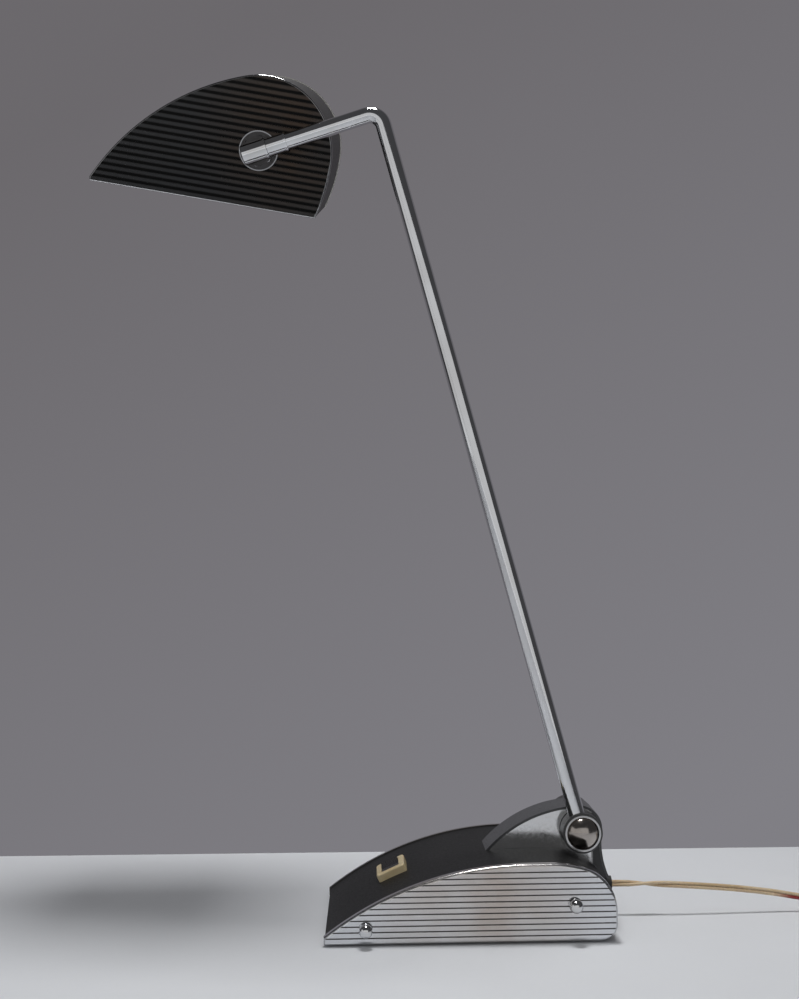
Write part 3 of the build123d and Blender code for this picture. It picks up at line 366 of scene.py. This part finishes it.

# Shade end plates: grooved plates like those of the base, closing the two ends of the shade.
# Their faces are painted dark as a painted reflection of the dark room, with a warm painted reflection in the
# middle and painted shade in and beside the grooves; the rounded rim is brighter and carries a painted
# highlight along its lower edge.
# Their inner faces are sprayed white with the rest of the inside.
shade_tilt = next(joint for joint in frame["joints"] if joint["name"] == "shade_tilt")
pivot = Vector(shade_tilt["pos_m"])
tilt_axis = Vector(shade_tilt["axis"]).normalized()
shade_along = Vector((0.98524, 0.01009, -0.17088)).normalized()
shade_up = shade_along.cross(tilt_axis)
near_face = 0.0142
far_face = 0.0982
plate_inside = 0.0022
shade_groove_pitch = 0.00415
shade_groove_first = -0.0321
warm_reflection_middle = pivot + shade_along * 0.02 + shade_up * 0.012
plate_foot = min((corner.co - pivot).dot(shade_up) for corner in nodes["near_shade_plate"].data.vertices)
for side, name, outer in ((-1, "near_shade_plate", near_face), (1, "far_shade_plate", far_face)):
    # Painted reflection: the faces are painted dark for the dark room they mirror.
    painted_dark_plate, painted_dark_plate_shader = start_finish(f"{name}_patina", (0.045, 0.043, 0.042), 1, 0.22)
    streaks = grain(painted_dark_plate, 330, 4.0, (0.18, 1, 1))
    patches = spread(painted_dark_plate, grain(painted_dark_plate, 34, 4.0), 0.3, 0.6, 0.3, 1)
    # Painted reflection: a warm brown patch in the middle of each face.
    middle = spread(painted_dark_plate, distance_from(painted_dark_plate, warm_reflection_middle + tilt_axis * outer), 0.01, 0.065, 1, 0)
    painted_warm_reflection = both(painted_dark_plate, middle, patches)
    face_colour = blend_colours(painted_dark_plate, painted_warm_reflection, (0.042, 0.042, 0.043), (0.060, 0.044, 0.034))
    depth = both(painted_dark_plate, distance_along(painted_dark_plate, pivot + tilt_axis * outer, tilt_axis), -side)
    square = facing(painted_dark_plate, tilt_axis, 0.90, 0.97)
    off_middle = between_grooves(painted_dark_plate, pivot + shade_up * shade_groove_first, shade_up, shade_groove_pitch)
    # Painted shade: each face is painted darker beside its grooves, and darker still on the groove floors.
    painted_rib_shade = spread(painted_dark_plate, combine(painted_dark_plate, "ABSOLUTE", off_middle), 0.14, 0.36, 0, 1)
    rib_shaded_face = blend_colours(painted_dark_plate, painted_rib_shade, face_colour, (0.010, 0.0095, 0.009))
    sunk = spread(painted_dark_plate, depth, groove_depth * 0.35, groove_depth * 0.7, 0, 1)
    groove_shaded_face = blend_colours(painted_dark_plate, both(painted_dark_plate, sunk, square), rib_shaded_face, (0.008, 0.008, 0.008))
    deep = spread(painted_dark_plate, depth, groove_depth * 1.1, groove_depth * 1.4, 0, 1)
    edge_wall = both(painted_dark_plate, deep, left_over(painted_dark_plate, facing(painted_dark_plate, tilt_axis, 0.3, 0.6)))
    sloping = left_over(painted_dark_plate, facing(painted_dark_plate, tilt_axis, 0.955, 0.985))
    rounded = both(painted_dark_plate, facing(painted_dark_plate, tilt_axis, 0.03, 0.12), sloping)
    rim = combine(painted_dark_plate, "MAXIMUM", edge_wall, rounded)
    # Painted highlight: the rim is painted brighter along the plate's lower edge.
    above_foot = distance_along(painted_dark_plate, pivot + shade_up * plate_foot, shade_up)
    painted_edge_highlight = spread(painted_dark_plate, above_foot, 0.0006, 0.0012, 1, 0)
    rim_metal = blend_colours(painted_dark_plate, painted_edge_highlight, (0.30, 0.30, 0.305), (0.74, 0.74, 0.75))
    metal = blend_colours(painted_dark_plate, rim, groove_shaded_face, rim_metal)
    inner = both(painted_dark_plate, spread(painted_dark_plate, depth, plate_inside - 0.0001, plate_inside + 0.0001, 0, 1), square)
    join(painted_dark_plate, blend_colours(painted_dark_plate, inner, metal, (0.66, 0.645, 0.61)), painted_dark_plate_shader.inputs["Base Color"])
    join(painted_dark_plate, left_over(painted_dark_plate, inner), painted_dark_plate_shader.inputs["Metallic"])
    dull = combine(painted_dark_plate, "ADD", spread(painted_dark_plate, streaks, 0.3, 0.7, 0.17, 0.30), both(painted_dark_plate, painted_warm_reflection, 0.06))
    polish = both(painted_dark_plate, dull, left_over(painted_dark_plate, both(painted_dark_plate, rim, 0.5)))
    polish = combine(painted_dark_plate, "ADD", polish, both(painted_dark_plate, inner, 0.35))
    join(painted_dark_plate, polish, painted_dark_plate_shader.inputs["Roughness"])
    raise_surface(painted_dark_plate, painted_dark_plate_shader, streaks, 0.000002)
    dress(painted_dark_plate, name)

# Pivot nut and washer: the hexagon nut that holds the shade and the round plate under it. Their flat faces
# are painted dark like the end plate they lie on, as a painted reflection, with a painted highlight ring; the
# edges are bright.
ring_inside = 0.0116
ring_outside = 0.0120
washer_low, washer_high = (Vector(corner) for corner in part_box("pivot_washer"))
washer_dark_reflection, washer_shader = start_finish("washer_dark_reflection", (0.05, 0.05, 0.052), 1, 0.2)
clouds = grain(washer_dark_reflection, 160, 4.0)
washer_face = blend_colours(washer_dark_reflection, clouds, (0.075, 0.074, 0.076), (0.045, 0.041, 0.039))
off_centre = distance_from(washer_dark_reflection, (washer_low + washer_high) / 2)
painted_highlight_ring = spread(washer_dark_reflection, off_centre, ring_inside, ring_outside, 0, 1)
flat_side = facing(washer_dark_reflection, tilt_axis, 0.9, 0.97)
# Painted reflection and highlight: the flat faces are painted dark, and a thin ring near the washer's edge is
# painted bright.
painted_dark_flat = both(washer_dark_reflection, flat_side, left_over(washer_dark_reflection, painted_highlight_ring))
washer_colour = blend_colours(washer_dark_reflection, painted_dark_flat, (0.36, 0.36, 0.37), washer_face)
washer_polish = spread(washer_dark_reflection, grain(washer_dark_reflection, 500, 3.0), 0.3, 0.7, 0.14, 0.26)
join(washer_dark_reflection, washer_colour, washer_shader.inputs["Base Color"])
join(washer_dark_reflection, washer_polish, washer_shader.inputs["Roughness"])
dress(washer_dark_reflection, "pivot_washer", "pivot_nut")

# Shade skin: one strip of sheet steel bent over the shade between its end plates. Satin black outside,
# and sprayed flat white inside to throw the light down.
shade_paint, shade_paint_shader = worn_finish(
    "shade_paint", ((0.0085, 0.0085, 0.0088), (0.015, 0.015, 0.0152)), metallic=0,
    roughness=(0.36, 0.48), cloud=24, fine=800, relief=0.000012)
shade_paint_shader.inputs["Specular IOR Level"].default_value = 0.35
shade_middle = pivot + tilt_axis * ((near_face + far_face) / 2) + shade_along * 0.02
place = add_node(shade_paint, "ShaderNodeTexCoord")
outward = add_node(shade_paint, "ShaderNodeVectorMath", {"operation": "SUBTRACT"})
outward.inputs[1].default_value = shade_middle
turned_out = add_node(shade_paint, "ShaderNodeVectorMath", {"operation": "DOT_PRODUCT"})
join(shade_paint, place.outputs["Object"], outward.inputs[0])
join(shade_paint, outward.outputs["Vector"], turned_out.inputs[0])
join(shade_paint, place.outputs["Normal"], turned_out.inputs[1])
inside = spread(shade_paint, turned_out.outputs["Value"], -0.002, 0.002, 1, 0)
black_coat = shade_paint_shader.inputs["Base Color"].links[0].from_socket
white_coat = blend_colours(shade_paint, grain(shade_paint, 60, 3.0), (0.72, 0.71, 0.68), (0.60, 0.58, 0.54))
two_coats = blend_colours(shade_paint, inside, black_coat, white_coat)
join(shade_paint, two_coats, shade_paint_shader.inputs["Base Color"])
dress(shade_paint, "shade_skin")

# Lamp holder and bulb: a black phenolic holder on the pivot nipple, with a brass liner and contact,
# and a small frosted globe bulb with a brass cap.
dress(phenolic, "lamp_holder", "holder_ring")
brass, _ = worn_finish(
    "spun_brass", ((0.62, 0.46, 0.20), (0.50, 0.35, 0.14)), metallic=1,
    roughness=(0.2, 0.36), cloud=90, fine=1200, relief=0.000008)
dress(brass, "holder_liner", "holder_contact", "bulb_cap")
opal, opal_shader = worn_finish(
    "frosted_glass", ((0.80, 0.79, 0.76), (0.74, 0.73, 0.70)), metallic=0,
    roughness=(0.3, 0.42), cloud=40, fine=900, relief=0.000006)
opal_shader.inputs["Subsurface Weight"].default_value = 0.4
opal_shader.inputs["Subsurface Radius"].default_value = (0.006, 0.006, 0.005)
opal_shader.inputs["Subsurface Scale"].default_value = 1.0
dress(opal, "bulb_glass")


# Felt pad: a sheet of grey-green wool felt, cut to the shape of the base plate and glued under it
# so that the lamp doesn't scratch the table. Its corners are round and its lower edge is soft.
def start_block(name, middle, size):
    """A plain block at its size and place, ready to be shaped in edit mode."""
    bpy.ops.mesh.primitive_cube_add(size=1, location=middle, scale=size)
    block = bpy.context.object
    block.name = name
    bpy.ops.object.transform_apply(location=True, rotation=True, scale=True)
    bpy.ops.object.mode_set(mode="EDIT")
    return block


def pick(piece, kind, test):
    """Selects the faces or edges of a piece whose middle and normal, or middle and direction, pass a test."""
    bpy.ops.mesh.select_mode(type=kind)
    bpy.ops.mesh.select_all(action="DESELECT")
    shape = bmesh.from_edit_mesh(piece.data)
    if kind == "FACE":
        for face in shape.faces:
            face.select_set(test(face.calc_center_median(), face.normal))
    else:
        for edge in shape.edges:
            ends = [corner.co for corner in edge.verts]
            edge.select_set(test((ends[0] + ends[1]) / 2, (ends[1] - ends[0]).normalized()))
    bmesh.update_edit_mesh(piece.data)


def settle(piece, material, angle=40):
    """Closes a finished piece: its place goes into its mesh, it is shaded smooth, and it gets its finish."""
    bpy.ops.object.mode_set(mode="OBJECT")
    bpy.ops.object.transform_apply(location=True, rotation=True, scale=True)
    bpy.ops.object.shade_smooth_by_angle(angle=math.radians(angle))
    piece.data.materials.append(material)
    bpy.ops.object.select_all(action="DESELECT")


felt_corner = 0.004
felt_soft_edge = 0.0003
felt_low, felt_high = (Vector(corner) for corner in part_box("felt_pad"))
felt_size = felt_high - felt_low
felt = start_block("felt_sheet", (felt_low + felt_high) / 2, felt_size)
pick(felt, "EDGE", lambda middle, along: abs(along.z) > 0.9)
bpy.ops.mesh.bevel(offset=felt_corner, segments=4, affect="EDGES")
pick(felt, "EDGE", lambda middle, along: abs(middle.z - felt_low.z) < 1e-6)
bpy.ops.mesh.bevel(offset=felt_soft_edge, segments=2, affect="EDGES")
felt_wool, felt_shader = worn_finish(
    "wool_felt", ((0.050, 0.062, 0.050), (0.085, 0.098, 0.080)), metallic=0,
    roughness=(0.85, 0.98), cloud=260, fine=2600, relief=0.0003)
felt_shader.inputs["Sheen Weight"].default_value = 0.5
felt_shader.inputs["Sheen Roughness"].default_value = 0.6
felt_shader.inputs["Specular IOR Level"].default_value = 0.15
settle(felt, felt_wool)
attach(felt, "base")
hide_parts("felt_pad")

# Cord bush: a black rubber bush pressed into the rear of the skin, where the cord leaves the base.
# Dull, with a bloom of pale dust.
rubber, rubber_shader = worn_finish(
    "black_rubber", ((0.016, 0.016, 0.016), (0.032, 0.031, 0.030)), metallic=0,
    roughness=(0.55, 0.72), cloud=150, fine=2000, relief=0.00002)
rubber_shader.inputs["Specular IOR Level"].default_value = 0.35
dress(rubber, "cord_grommet")

# Cord: twin flex, two cores in clear yellowed plastic, joined side by side, with half a twist here and there.
# It leaves the bush straight and sinks to the table in a long curve, and the rest is wound up and tied
# beside the plug. The wire inside the stem has the same cover.
core_radius = 0.001
coil_middle = Vector((0.268, 0.0272, 0.0032))
coil_radius = 0.0272
coil_turns = (2.25, 2.5, 2.25, 2.5)
layer_rise = 0.0047
turn_growth = 0.0052
turn_points = 24
climb_points = turn_points // 2
route = [Vector(point) for point in (
    (0.067, 0, 0.0195), (0.101, 0, 0.0195), (0.139, -0.0016, 0.018), (0.182, 0.0006, 0.0138),
    (0.213, 0.0008, 0.0084), (0.240, 0, 0.0032), (0.264, 0, 0.0032))]


def on_coil(radius, degrees, height):
    """A point of the coil, at a distance and in a direction from its middle."""
    turn = math.radians(degrees)
    return coil_middle + Vector((radius * math.cos(turn), radius * math.sin(turn), height))


radius = coil_radius
degrees = -90.0
level = 0.0
step = 360 / turn_points
for layer, turns in enumerate(coil_turns):
    growth = -turn_growth if layer % 2 == 0 else turn_growth
    for _ in range(round(turns * turn_points)):
        degrees += step
        radius += growth / turn_points
        route.append(on_coil(radius, degrees, level))
    if layer < len(coil_turns) - 1:
        for count in range(climb_points):
            degrees += step
            share = (count + 1) / climb_points
            route.append(on_coil(radius, degrees, level + layer_rise * (1 - math.cos(math.pi * share)) / 2))
        level += layer_rise
route += [Vector(point) for point in (
    (0.272, -0.0026, 0.0173), (0.288, -0.0026, 0.0173), (0.308, -0.0012, 0.0122),
    (0.328, -0.0045, 0.00685), (0.346, -0.0045, 0.00685))]
line_curve = bpy.data.curves.new("cord_line", "CURVE")
line_curve.dimensions = "3D"
line_curve.resolution_u = 10
spline = line_curve.splines.new("NURBS")
spline.points.add(len(route) - 1)
for control, point in zip(spline.points, route):
    control.co = (*point, 1)
spline.order_u = 3
spline.use_endpoint_u = True
line_object = bpy.data.objects.new("cord_line", line_curve)
line_mesh = bpy.data.meshes.new_from_object(line_object)
cord_points = [corner.co.copy() for corner in line_mesh.vertices]
bpy.data.objects.remove(line_object)
bpy.data.meshes.remove(line_mesh)
bpy.data.curves.remove(line_curve)

twist_start = 0.025
twist_length = 0.040
twist_gap = 0.25
twist_at_bush = math.radians(105)
second_core_run = 10
ring_corners = 10
up = Vector((0, 0, 1))
ways = [(after - before).normalized() for before, after in zip(cord_points, cord_points[1:])]
ways.append(ways[-1])
lengths = [0.0]
for before, after in zip(cord_points, cord_points[1:]):
    lengths.append(lengths[-1] + (after - before).length)
corners = []
faces = []
run = []
for strand in (0, 1):
    start = len(corners)
    for point, way, length in zip(cord_points, ways, lengths):
        across = way.cross(up).normalized()
        above = across.cross(way)
        half_turns, part = divmod(length - twist_start, twist_gap)
        eased = min(part / twist_length, 1)
        half_turns += eased * eased * (3 - 2 * eased)
        turn = math.pi * (half_turns + strand) + twist_at_bush
        centre = point + (across * math.cos(turn) + above * math.sin(turn)) * core_radius
        for corner in range(ring_corners):
            spot = math.tau * corner / ring_corners
            corners.append(centre + (across * math.cos(spot) + above * math.sin(spot)) * core_radius)
            run.append(length + strand * second_core_run)
    for ring in range(len(cord_points) - 1):
        this_ring = start + ring * ring_corners
        next_ring = this_ring + ring_corners
        for corner in range(ring_corners):
            beside = (corner + 1) % ring_corners
            faces.append((this_ring + corner, this_ring + beside, next_ring + beside, next_ring + corner))
    faces.append(tuple(start + corner for corner in reversed(range(ring_corners))))
    last = start + (len(cord_points) - 1) * ring_corners
    faces.append(tuple(last + corner for corner in range(ring_corners)))
cord_mesh = bpy.data.meshes.new("cord")
cord_mesh.from_pydata([tuple(corner) for corner in corners], [], faces)
cord_mesh.update()
cord_mesh.attributes.new("run", "FLOAT", "POINT").data.foreach_set("value", run)
cord = bpy.data.objects.new("cord", cord_mesh)
scene.collection.objects.link(cord)
bpy.context.view_layer.objects.active = cord
cord.select_set(True)
bpy.ops.object.mode_set(mode="EDIT")
bpy.ops.mesh.select_all(action="SELECT")
bpy.ops.mesh.normals_make_consistent(inside=False)

red_begins = (0.126, 0.138)
red_ends = (0.144, 0.152)
flex, flex_shader = start_finish("amber_flex", (0.50, 0.38, 0.22), 0, 0.3)
run_along = add_node(flex, "ShaderNodeAttribute", {"attribute_name": "run"}).outputs["Fac"]
stains = add_node(flex, "ShaderNodeTexNoise", {"noise_dimensions": "1D"}, {"Scale": 28.0, "Detail": 3.0})
join(flex, run_along, stains.inputs["W"])
stained = spread(flex, stains.outputs["Fac"], 0.35, 0.65, 0, 1)
amber = blend_colours(flex, stained, (0.62, 0.50, 0.34), (0.50, 0.37, 0.22))
copper = spread(flex, grain(flex, 700, 2.0), 0.45, 0.7, 0, 0.25)
core_colour = blend_colours(flex, copper, amber, (0.36, 0.20, 0.095))
red_length = both(flex, spread(flex, run_along, *red_begins, 0, 1), spread(flex, run_along, *red_ends, 1, 0))
flex_colour = blend_colours(flex, red_length, core_colour, (0.24, 0.022, 0.022))
join(flex, flex_colour, flex_shader.inputs["Base Color"])
join(flex, spread(flex, grain(flex, 1500, 2.0), 0.3, 0.7, 0.22, 0.38), flex_shader.inputs["Roughness"])
flex_shader.inputs["Subsurface Weight"].default_value = 0.25
flex_shader.inputs["Subsurface Radius"].default_value = (0.0012, 0.0008, 0.0004)
flex_shader.inputs["Subsurface Scale"].default_value = 1.0
settle(cord, flex, 60)
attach(cord, "base")
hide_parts("cord_lead", "cord_coil", "cord_tail")
dress(flex, "stem_wire")

# Coil tie: a flat black rubber band that holds the turns of the coil together on one side.
# Bent round them, with soft corners.
band_corner = 0.0012
band_thickness = 0.0008
band_edge = 0.0002
tie_low, tie_high = (Vector(corner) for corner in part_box("coil_tie"))
tie = start_block("coil_band", (tie_low + tie_high) / 2, tie_high - tie_low)
pick(tie, "FACE", lambda middle, normal: abs(normal.y) > 0.9)
bpy.ops.mesh.delete(type="FACE")
pick(tie, "EDGE", lambda middle, along: abs(along.y) > 0.9)
bpy.ops.mesh.bevel(offset=band_corner, segments=5, affect="EDGES")
bpy.ops.object.mode_set(mode="OBJECT")
bpy.ops.object.modifier_add(type="SOLIDIFY")
tie.modifiers["Solidify"].thickness = band_thickness
tie.modifiers["Solidify"].offset = -1
bpy.ops.object.modifier_apply(modifier="Solidify")
bpy.ops.object.modifier_add(type="BEVEL")
tie.modifiers["Bevel"].width = band_edge
tie.modifiers["Bevel"].segments = 2
bpy.ops.object.modifier_apply(modifier="Bevel")
settle(tie, rubber)
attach(tie, "base")
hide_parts("coil_tie")


# Plug: a flat two-pin plug moulded in black plastic in two halves, with a parting line round it,
# a shallow finger rest on each face and a ribbed sleeve for the cord.
def start_rod(middle, radius, length, sides):
    """A round rod along X at its size and place, ready to be shaped in edit mode."""
    bpy.ops.mesh.primitive_cylinder_add(vertices=sides, radius=radius, depth=length, location=middle,
                                        rotation=(0, math.radians(90), 0))
    rod = bpy.context.object
    bpy.ops.object.transform_apply(location=True, rotation=True, scale=True)
    bpy.ops.object.mode_set(mode="EDIT")
    return rod


plug_start = Vector((0.346, -0.0045, 0.00685))
body_size = Vector((0.030, 0.035, 0.0137))
body_corner = 0.006
body_edge = 0.0014
rest_margin = 0.006
rest_depth = 0.0007
parting_half = 0.0003
parting_depth = 0.0004
sleeve_length = 0.010
sleeve_radius = 0.0045
sleeve_overlap = 0.002
rib_width = 0.0013
rib_depth = 0.0007
sleeve_wall = 0.0008
body_middle = plug_start + Vector((sleeve_length + body_size.x / 2, 0, 0))
plug = start_block("plug", body_middle, body_size)
pick(plug, "EDGE", lambda middle, along: abs(along.z) > 0.9)
bpy.ops.mesh.bevel(offset=body_corner, segments=6, affect="EDGES")
pick(plug, "FACE", lambda middle, normal: abs(normal.z) > 0.9)
bpy.ops.mesh.inset(thickness=rest_margin, depth=-rest_depth)
pick(plug, "EDGE", lambda middle, along: abs(abs(middle.z - body_middle.z) - body_size.z / 2) < 1e-5
     and max(abs(middle.x - body_middle.x) / body_size.x, abs(middle.y - body_middle.y) / body_size.y) > 0.40)
bpy.ops.mesh.bevel(offset=body_edge, segments=3, affect="EDGES")
for height in (-parting_half, parting_half):
    bpy.ops.mesh.select_all(action="SELECT")
    bpy.ops.mesh.bisect(plane_co=body_middle + Vector((0, 0, height)), plane_no=(0, 0, 1))
pick(plug, "FACE", lambda middle, normal: abs(normal.z) < 0.5
     and abs(middle.z - body_middle.z) < parting_half * 0.8)
bpy.ops.mesh.extrude_region_shrink_fatten(TRANSFORM_OT_shrink_fatten={"value": -parting_depth})
bpy.ops.object.mode_set(mode="OBJECT")
bpy.ops.object.select_all(action="DESELECT")
sleeve_middle = plug_start + Vector(((sleeve_length + sleeve_overlap) / 2, 0, 0))
sleeve = start_rod(sleeve_middle, sleeve_radius, sleeve_length + sleeve_overlap, 32)
for cut in range(1, 8):
    bpy.ops.mesh.select_all(action="SELECT")
    bpy.ops.mesh.bisect(plane_co=plug_start + Vector((rib_width * cut, 0, 0)), plane_no=(1, 0, 0))
for band in (1, 3, 5):
    pick(sleeve, "FACE", lambda middle, normal: abs(normal.x) < 0.5
         and rib_width * band < middle.x - plug_start.x < rib_width * (band + 1))
    bpy.ops.mesh.extrude_region_shrink_fatten(TRANSFORM_OT_shrink_fatten={"value": -rib_depth})
pick(sleeve, "FACE", lambda middle, normal: normal.x < -0.9 and middle.x < plug_start.x + 0.0001)
bpy.ops.mesh.inset(thickness=sleeve_wall)
bpy.ops.object.mode_set(mode="OBJECT")
plug.select_set(True)
bpy.context.view_layer.objects.active = plug
bpy.ops.object.join()
settle(plug, phenolic)
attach(plug, "base")
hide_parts("plug_body")

# Plug pins: two round brass pins moulded into the plug, turned to a rounded tip,
# with a black sleeve of insulation on the half nearest the plug.
pin_radius = 0.002
pin_length = 0.025
pin_hidden = 0.006
pin_tip = 0.0014
pin_offset = 0.0093
insulation_end = 0.3955
pin_middle = plug_start + Vector((sleeve_length + body_size.x - pin_hidden + pin_length / 2, 0, 0))
pin_brass, pin_shader = start_finish("sleeved_brass", (0.62, 0.47, 0.22), 1, 0.2)
past_sleeve = distance_along(pin_brass, (insulation_end, 0, 0), (1, 0, 0))
bare = spread(pin_brass, past_sleeve, -0.0001, 0.0001, 0, 1)
turning = grain(pin_brass, 300, 3.0, (4, 1, 1))
turned_brass = blend_colours(pin_brass, turning, (0.66, 0.50, 0.23), (0.52, 0.38, 0.16))
pin_colour = blend_colours(pin_brass, bare, (0.012, 0.012, 0.012), turned_brass)
pin_polish = spread(pin_brass, grain(pin_brass, 900, 2.0), 0.3, 0.7, 0.2, 0.36)
join(pin_brass, pin_colour, pin_shader.inputs["Base Color"])
join(pin_brass, bare, pin_shader.inputs["Metallic"])
join(pin_brass, pin_polish, pin_shader.inputs["Roughness"])
rods = []
for side in (-1, 1):
    rod = start_rod(pin_middle + Vector((0, side * pin_offset, 0)), pin_radius, pin_length, 28)
    pick(rod, "FACE", lambda middle, normal: normal.x > 0.9)
    bpy.ops.mesh.bevel(offset=pin_tip, segments=5, affect="EDGES")
    bpy.ops.object.mode_set(mode="OBJECT")
    rods.append(rod)
    bpy.ops.object.select_all(action="DESELECT")
for rod in rods:
    rod.select_set(True)
pins = rods[0]
bpy.context.view_layer.objects.active = pins
bpy.ops.object.join()
pins.name = "pins"
settle(pins, pin_brass)
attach(pins, "base")
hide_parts("plug_pins")

# Table: a plain pale painted top with a very slight unevenness in its paint.
# It is evenly pale round the lamp; well away from it, in an oval, it is painted dark as painted shade.
table_size = 8
oval_shift = (0, 0.4, 0)
oval_scale = (1.6, 0.95, 1)
pale_to = 2.2
dark_from = 4.0
bpy.ops.mesh.primitive_plane_add(size=table_size, location=(0, 0, 0))
table = bpy.context.object
table.name = "table_top"
table_paint, table_shader = worn_finish(
    "table_paint", ((0.67, 0.685, 0.71), (0.645, 0.66, 0.685)), metallic=0,
    roughness=(0.62, 0.72), cloud=9, fine=300, relief=0.00002)
pale_paint = table_shader.inputs["Base Color"].links[0].from_socket
table_place = add_node(table_paint, "ShaderNodeTexCoord")
oval = add_node(table_paint, "ShaderNodeMapping", inputs={"Location": oval_shift, "Scale": oval_scale})
table_reach = add_node(table_paint, "ShaderNodeVectorMath", {"operation": "LENGTH"})
join(table_paint, table_place.outputs["Object"], oval.inputs["Vector"])
join(table_paint, oval.outputs["Vector"], table_reach.inputs[0])
# Painted shade: well away from the lamp the table is painted dark.
far_away = spread(table_paint, table_reach.outputs["Value"], pale_to, dark_from, 0, 1)
table_colour = blend_colours(table_paint, far_away, pale_paint, (0.12, 0.12, 0.126))
join(table_paint, table_colour, table_shader.inputs["Base Color"])
table.data.materials.append(table_paint)
table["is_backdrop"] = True

# Backdrop: a grey sheet behind the lamp, clear from its back. Its tone is painted light: paler toward the
# lower right and dark beyond what the camera sees, and for the camera and the chrome it glows with that tone,
# so the chrome shows it as the camera does.
sheet_size = 8
sheet_foot = -sheet_size / 2
sheet_behind = 0.165
sheet_turn = math.radians(-0.9)
painted_light_width = (0.31, 0.75)
painted_light_height = (0.70, 1.1)
bpy.ops.mesh.primitive_plane_add(size=sheet_size, location=(0, sheet_behind, sheet_size / 2),
                                 rotation=(math.radians(90), 0, sheet_turn))
backdrop = bpy.context.object
backdrop.name = "backdrop"
backdrop_paint, backdrop_shader = start_finish("backdrop_paint", (0.18, 0.176, 0.19), 0, 0.9)
# Painted light: the tone is paler toward the lower right and dark beyond what the camera sees.
down_right = distance_along(backdrop_paint, (0, sheet_foot + 0.3, 0), (0.45, -0.893, 0))
slope = spread(backdrop_paint, down_right, -0.36, 0.34, 0, 1)
painted_light_slope = blend_colours(backdrop_paint, slope, (0.148, 0.140, 0.150), (0.216, 0.212, 0.232))
sideways = combine(backdrop_paint, "ABSOLUTE", distance_along(backdrop_paint, (-0.034, 0, 0), (1, 0, 0)))
upward = distance_along(backdrop_paint, (0, sheet_foot, 0), (0, 1, 0))
ends = combine(backdrop_paint, "MAXIMUM", spread(backdrop_paint, sideways, *painted_light_width, 0, 1),
               spread(backdrop_paint, upward, *painted_light_height, 0, 1))
tone = blend_colours(backdrop_paint, ends, painted_light_slope, (0.06, 0.06, 0.063))
join(backdrop_paint, tone, backdrop_shader.inputs["Base Color"])
# Painted light: for the camera and the chrome the sheet glows with its painted tone.
glow = add_node(backdrop_paint, "ShaderNodeEmission")
join(backdrop_paint, tone, glow.inputs["Color"])
ray = add_node(backdrop_paint, "ShaderNodeLightPath")
mirrored = combine(backdrop_paint, "MAXIMUM",
                   ray.outputs["Is Glossy Ray"], ray.outputs["Is Transmission Ray"])
seen = combine(backdrop_paint, "MAXIMUM", ray.outputs["Is Camera Ray"], mirrored)
front = add_node(backdrop_paint, "ShaderNodeMixShader")
join(backdrop_paint, seen, front.inputs["Fac"])
join(backdrop_paint, backdrop_shader.outputs["BSDF"], front.inputs[1])
join(backdrop_paint, glow.outputs["Emission"], front.inputs[2])
back_side = add_node(backdrop_paint, "ShaderNodeNewGeometry")
clear = add_node(backdrop_paint, "ShaderNodeBsdfTransparent")
choose = add_node(backdrop_paint, "ShaderNodeMixShader")
join(backdrop_paint, back_side.outputs["Backfacing"], choose.inputs["Fac"])
join(backdrop_paint, front.outputs["Shader"], choose.inputs[1])
join(backdrop_paint, clear.outputs["BSDF"], choose.inputs[2])
surface = backdrop_paint.node_tree.nodes["Material Output"].inputs["Surface"]
join(backdrop_paint, choose.outputs["Shader"], surface)
backdrop.data.materials.append(backdrop_paint)
backdrop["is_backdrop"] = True


# Light: a soft box overhead, a broad fill that doesn't show in the chrome, and two low white cards,
# in front and at the left, that give the chrome its bright bands. The room beyond is dark.
def area_light(name, place, turn, width, height, watts):
    """A rectangular lamp at a place, turned by degrees from looking straight down."""
    bpy.ops.object.light_add(type="AREA", location=place, rotation=[math.radians(angle) for angle in turn])
    lamp = bpy.context.object
    lamp.name = name
    lamp.data.shape = "RECTANGLE"
    lamp.data.size = width
    lamp.data.size_y = height
    lamp.data.energy = watts
    return lamp


area_light("soft_box", (-0.05, 0.05, 1.4), (0, 0, 0), width=0.30, height=0.22, watts=12)
fill = area_light("fill", (0.1, -0.9, 1.9), (25, 0, 0), width=2.4, height=1.8, watts=10)
fill.visible_glossy = False
area_light("front_card", (-0.15, -1.25, 0.42), (90, 0, 0), width=2.3, height=0.84, watts=3.5)
area_light("left_card", (-1.35, -0.75, 0.42), (90, 0, -90), width=1.0, height=0.84, watts=1.5)
world = bpy.data.worlds.new("room")
scene.world = world
world.use_nodes = True
world.node_tree.nodes["Background"].inputs["Color"].default_value = (0.06, 0.06, 0.063, 1)

# Camera: a normal lens close to the table, a little to the left of the base and looking slightly up,
# so that the near side plate is seen almost square on.
bpy.ops.object.camera_add(location=(-0.05548, -0.76499, 0.22902))
camera = bpy.context.object
camera.rotation_euler = (math.radians(92.224), math.radians(0.566), math.radians(-1.32))
camera.data.lens = 44.112
camera.data.sensor_width = 36
camera.data.clip_start = 0.02
scene.camera = camera

# Sizes of the dressed model, from the bounds of all that is shown.
low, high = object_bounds()
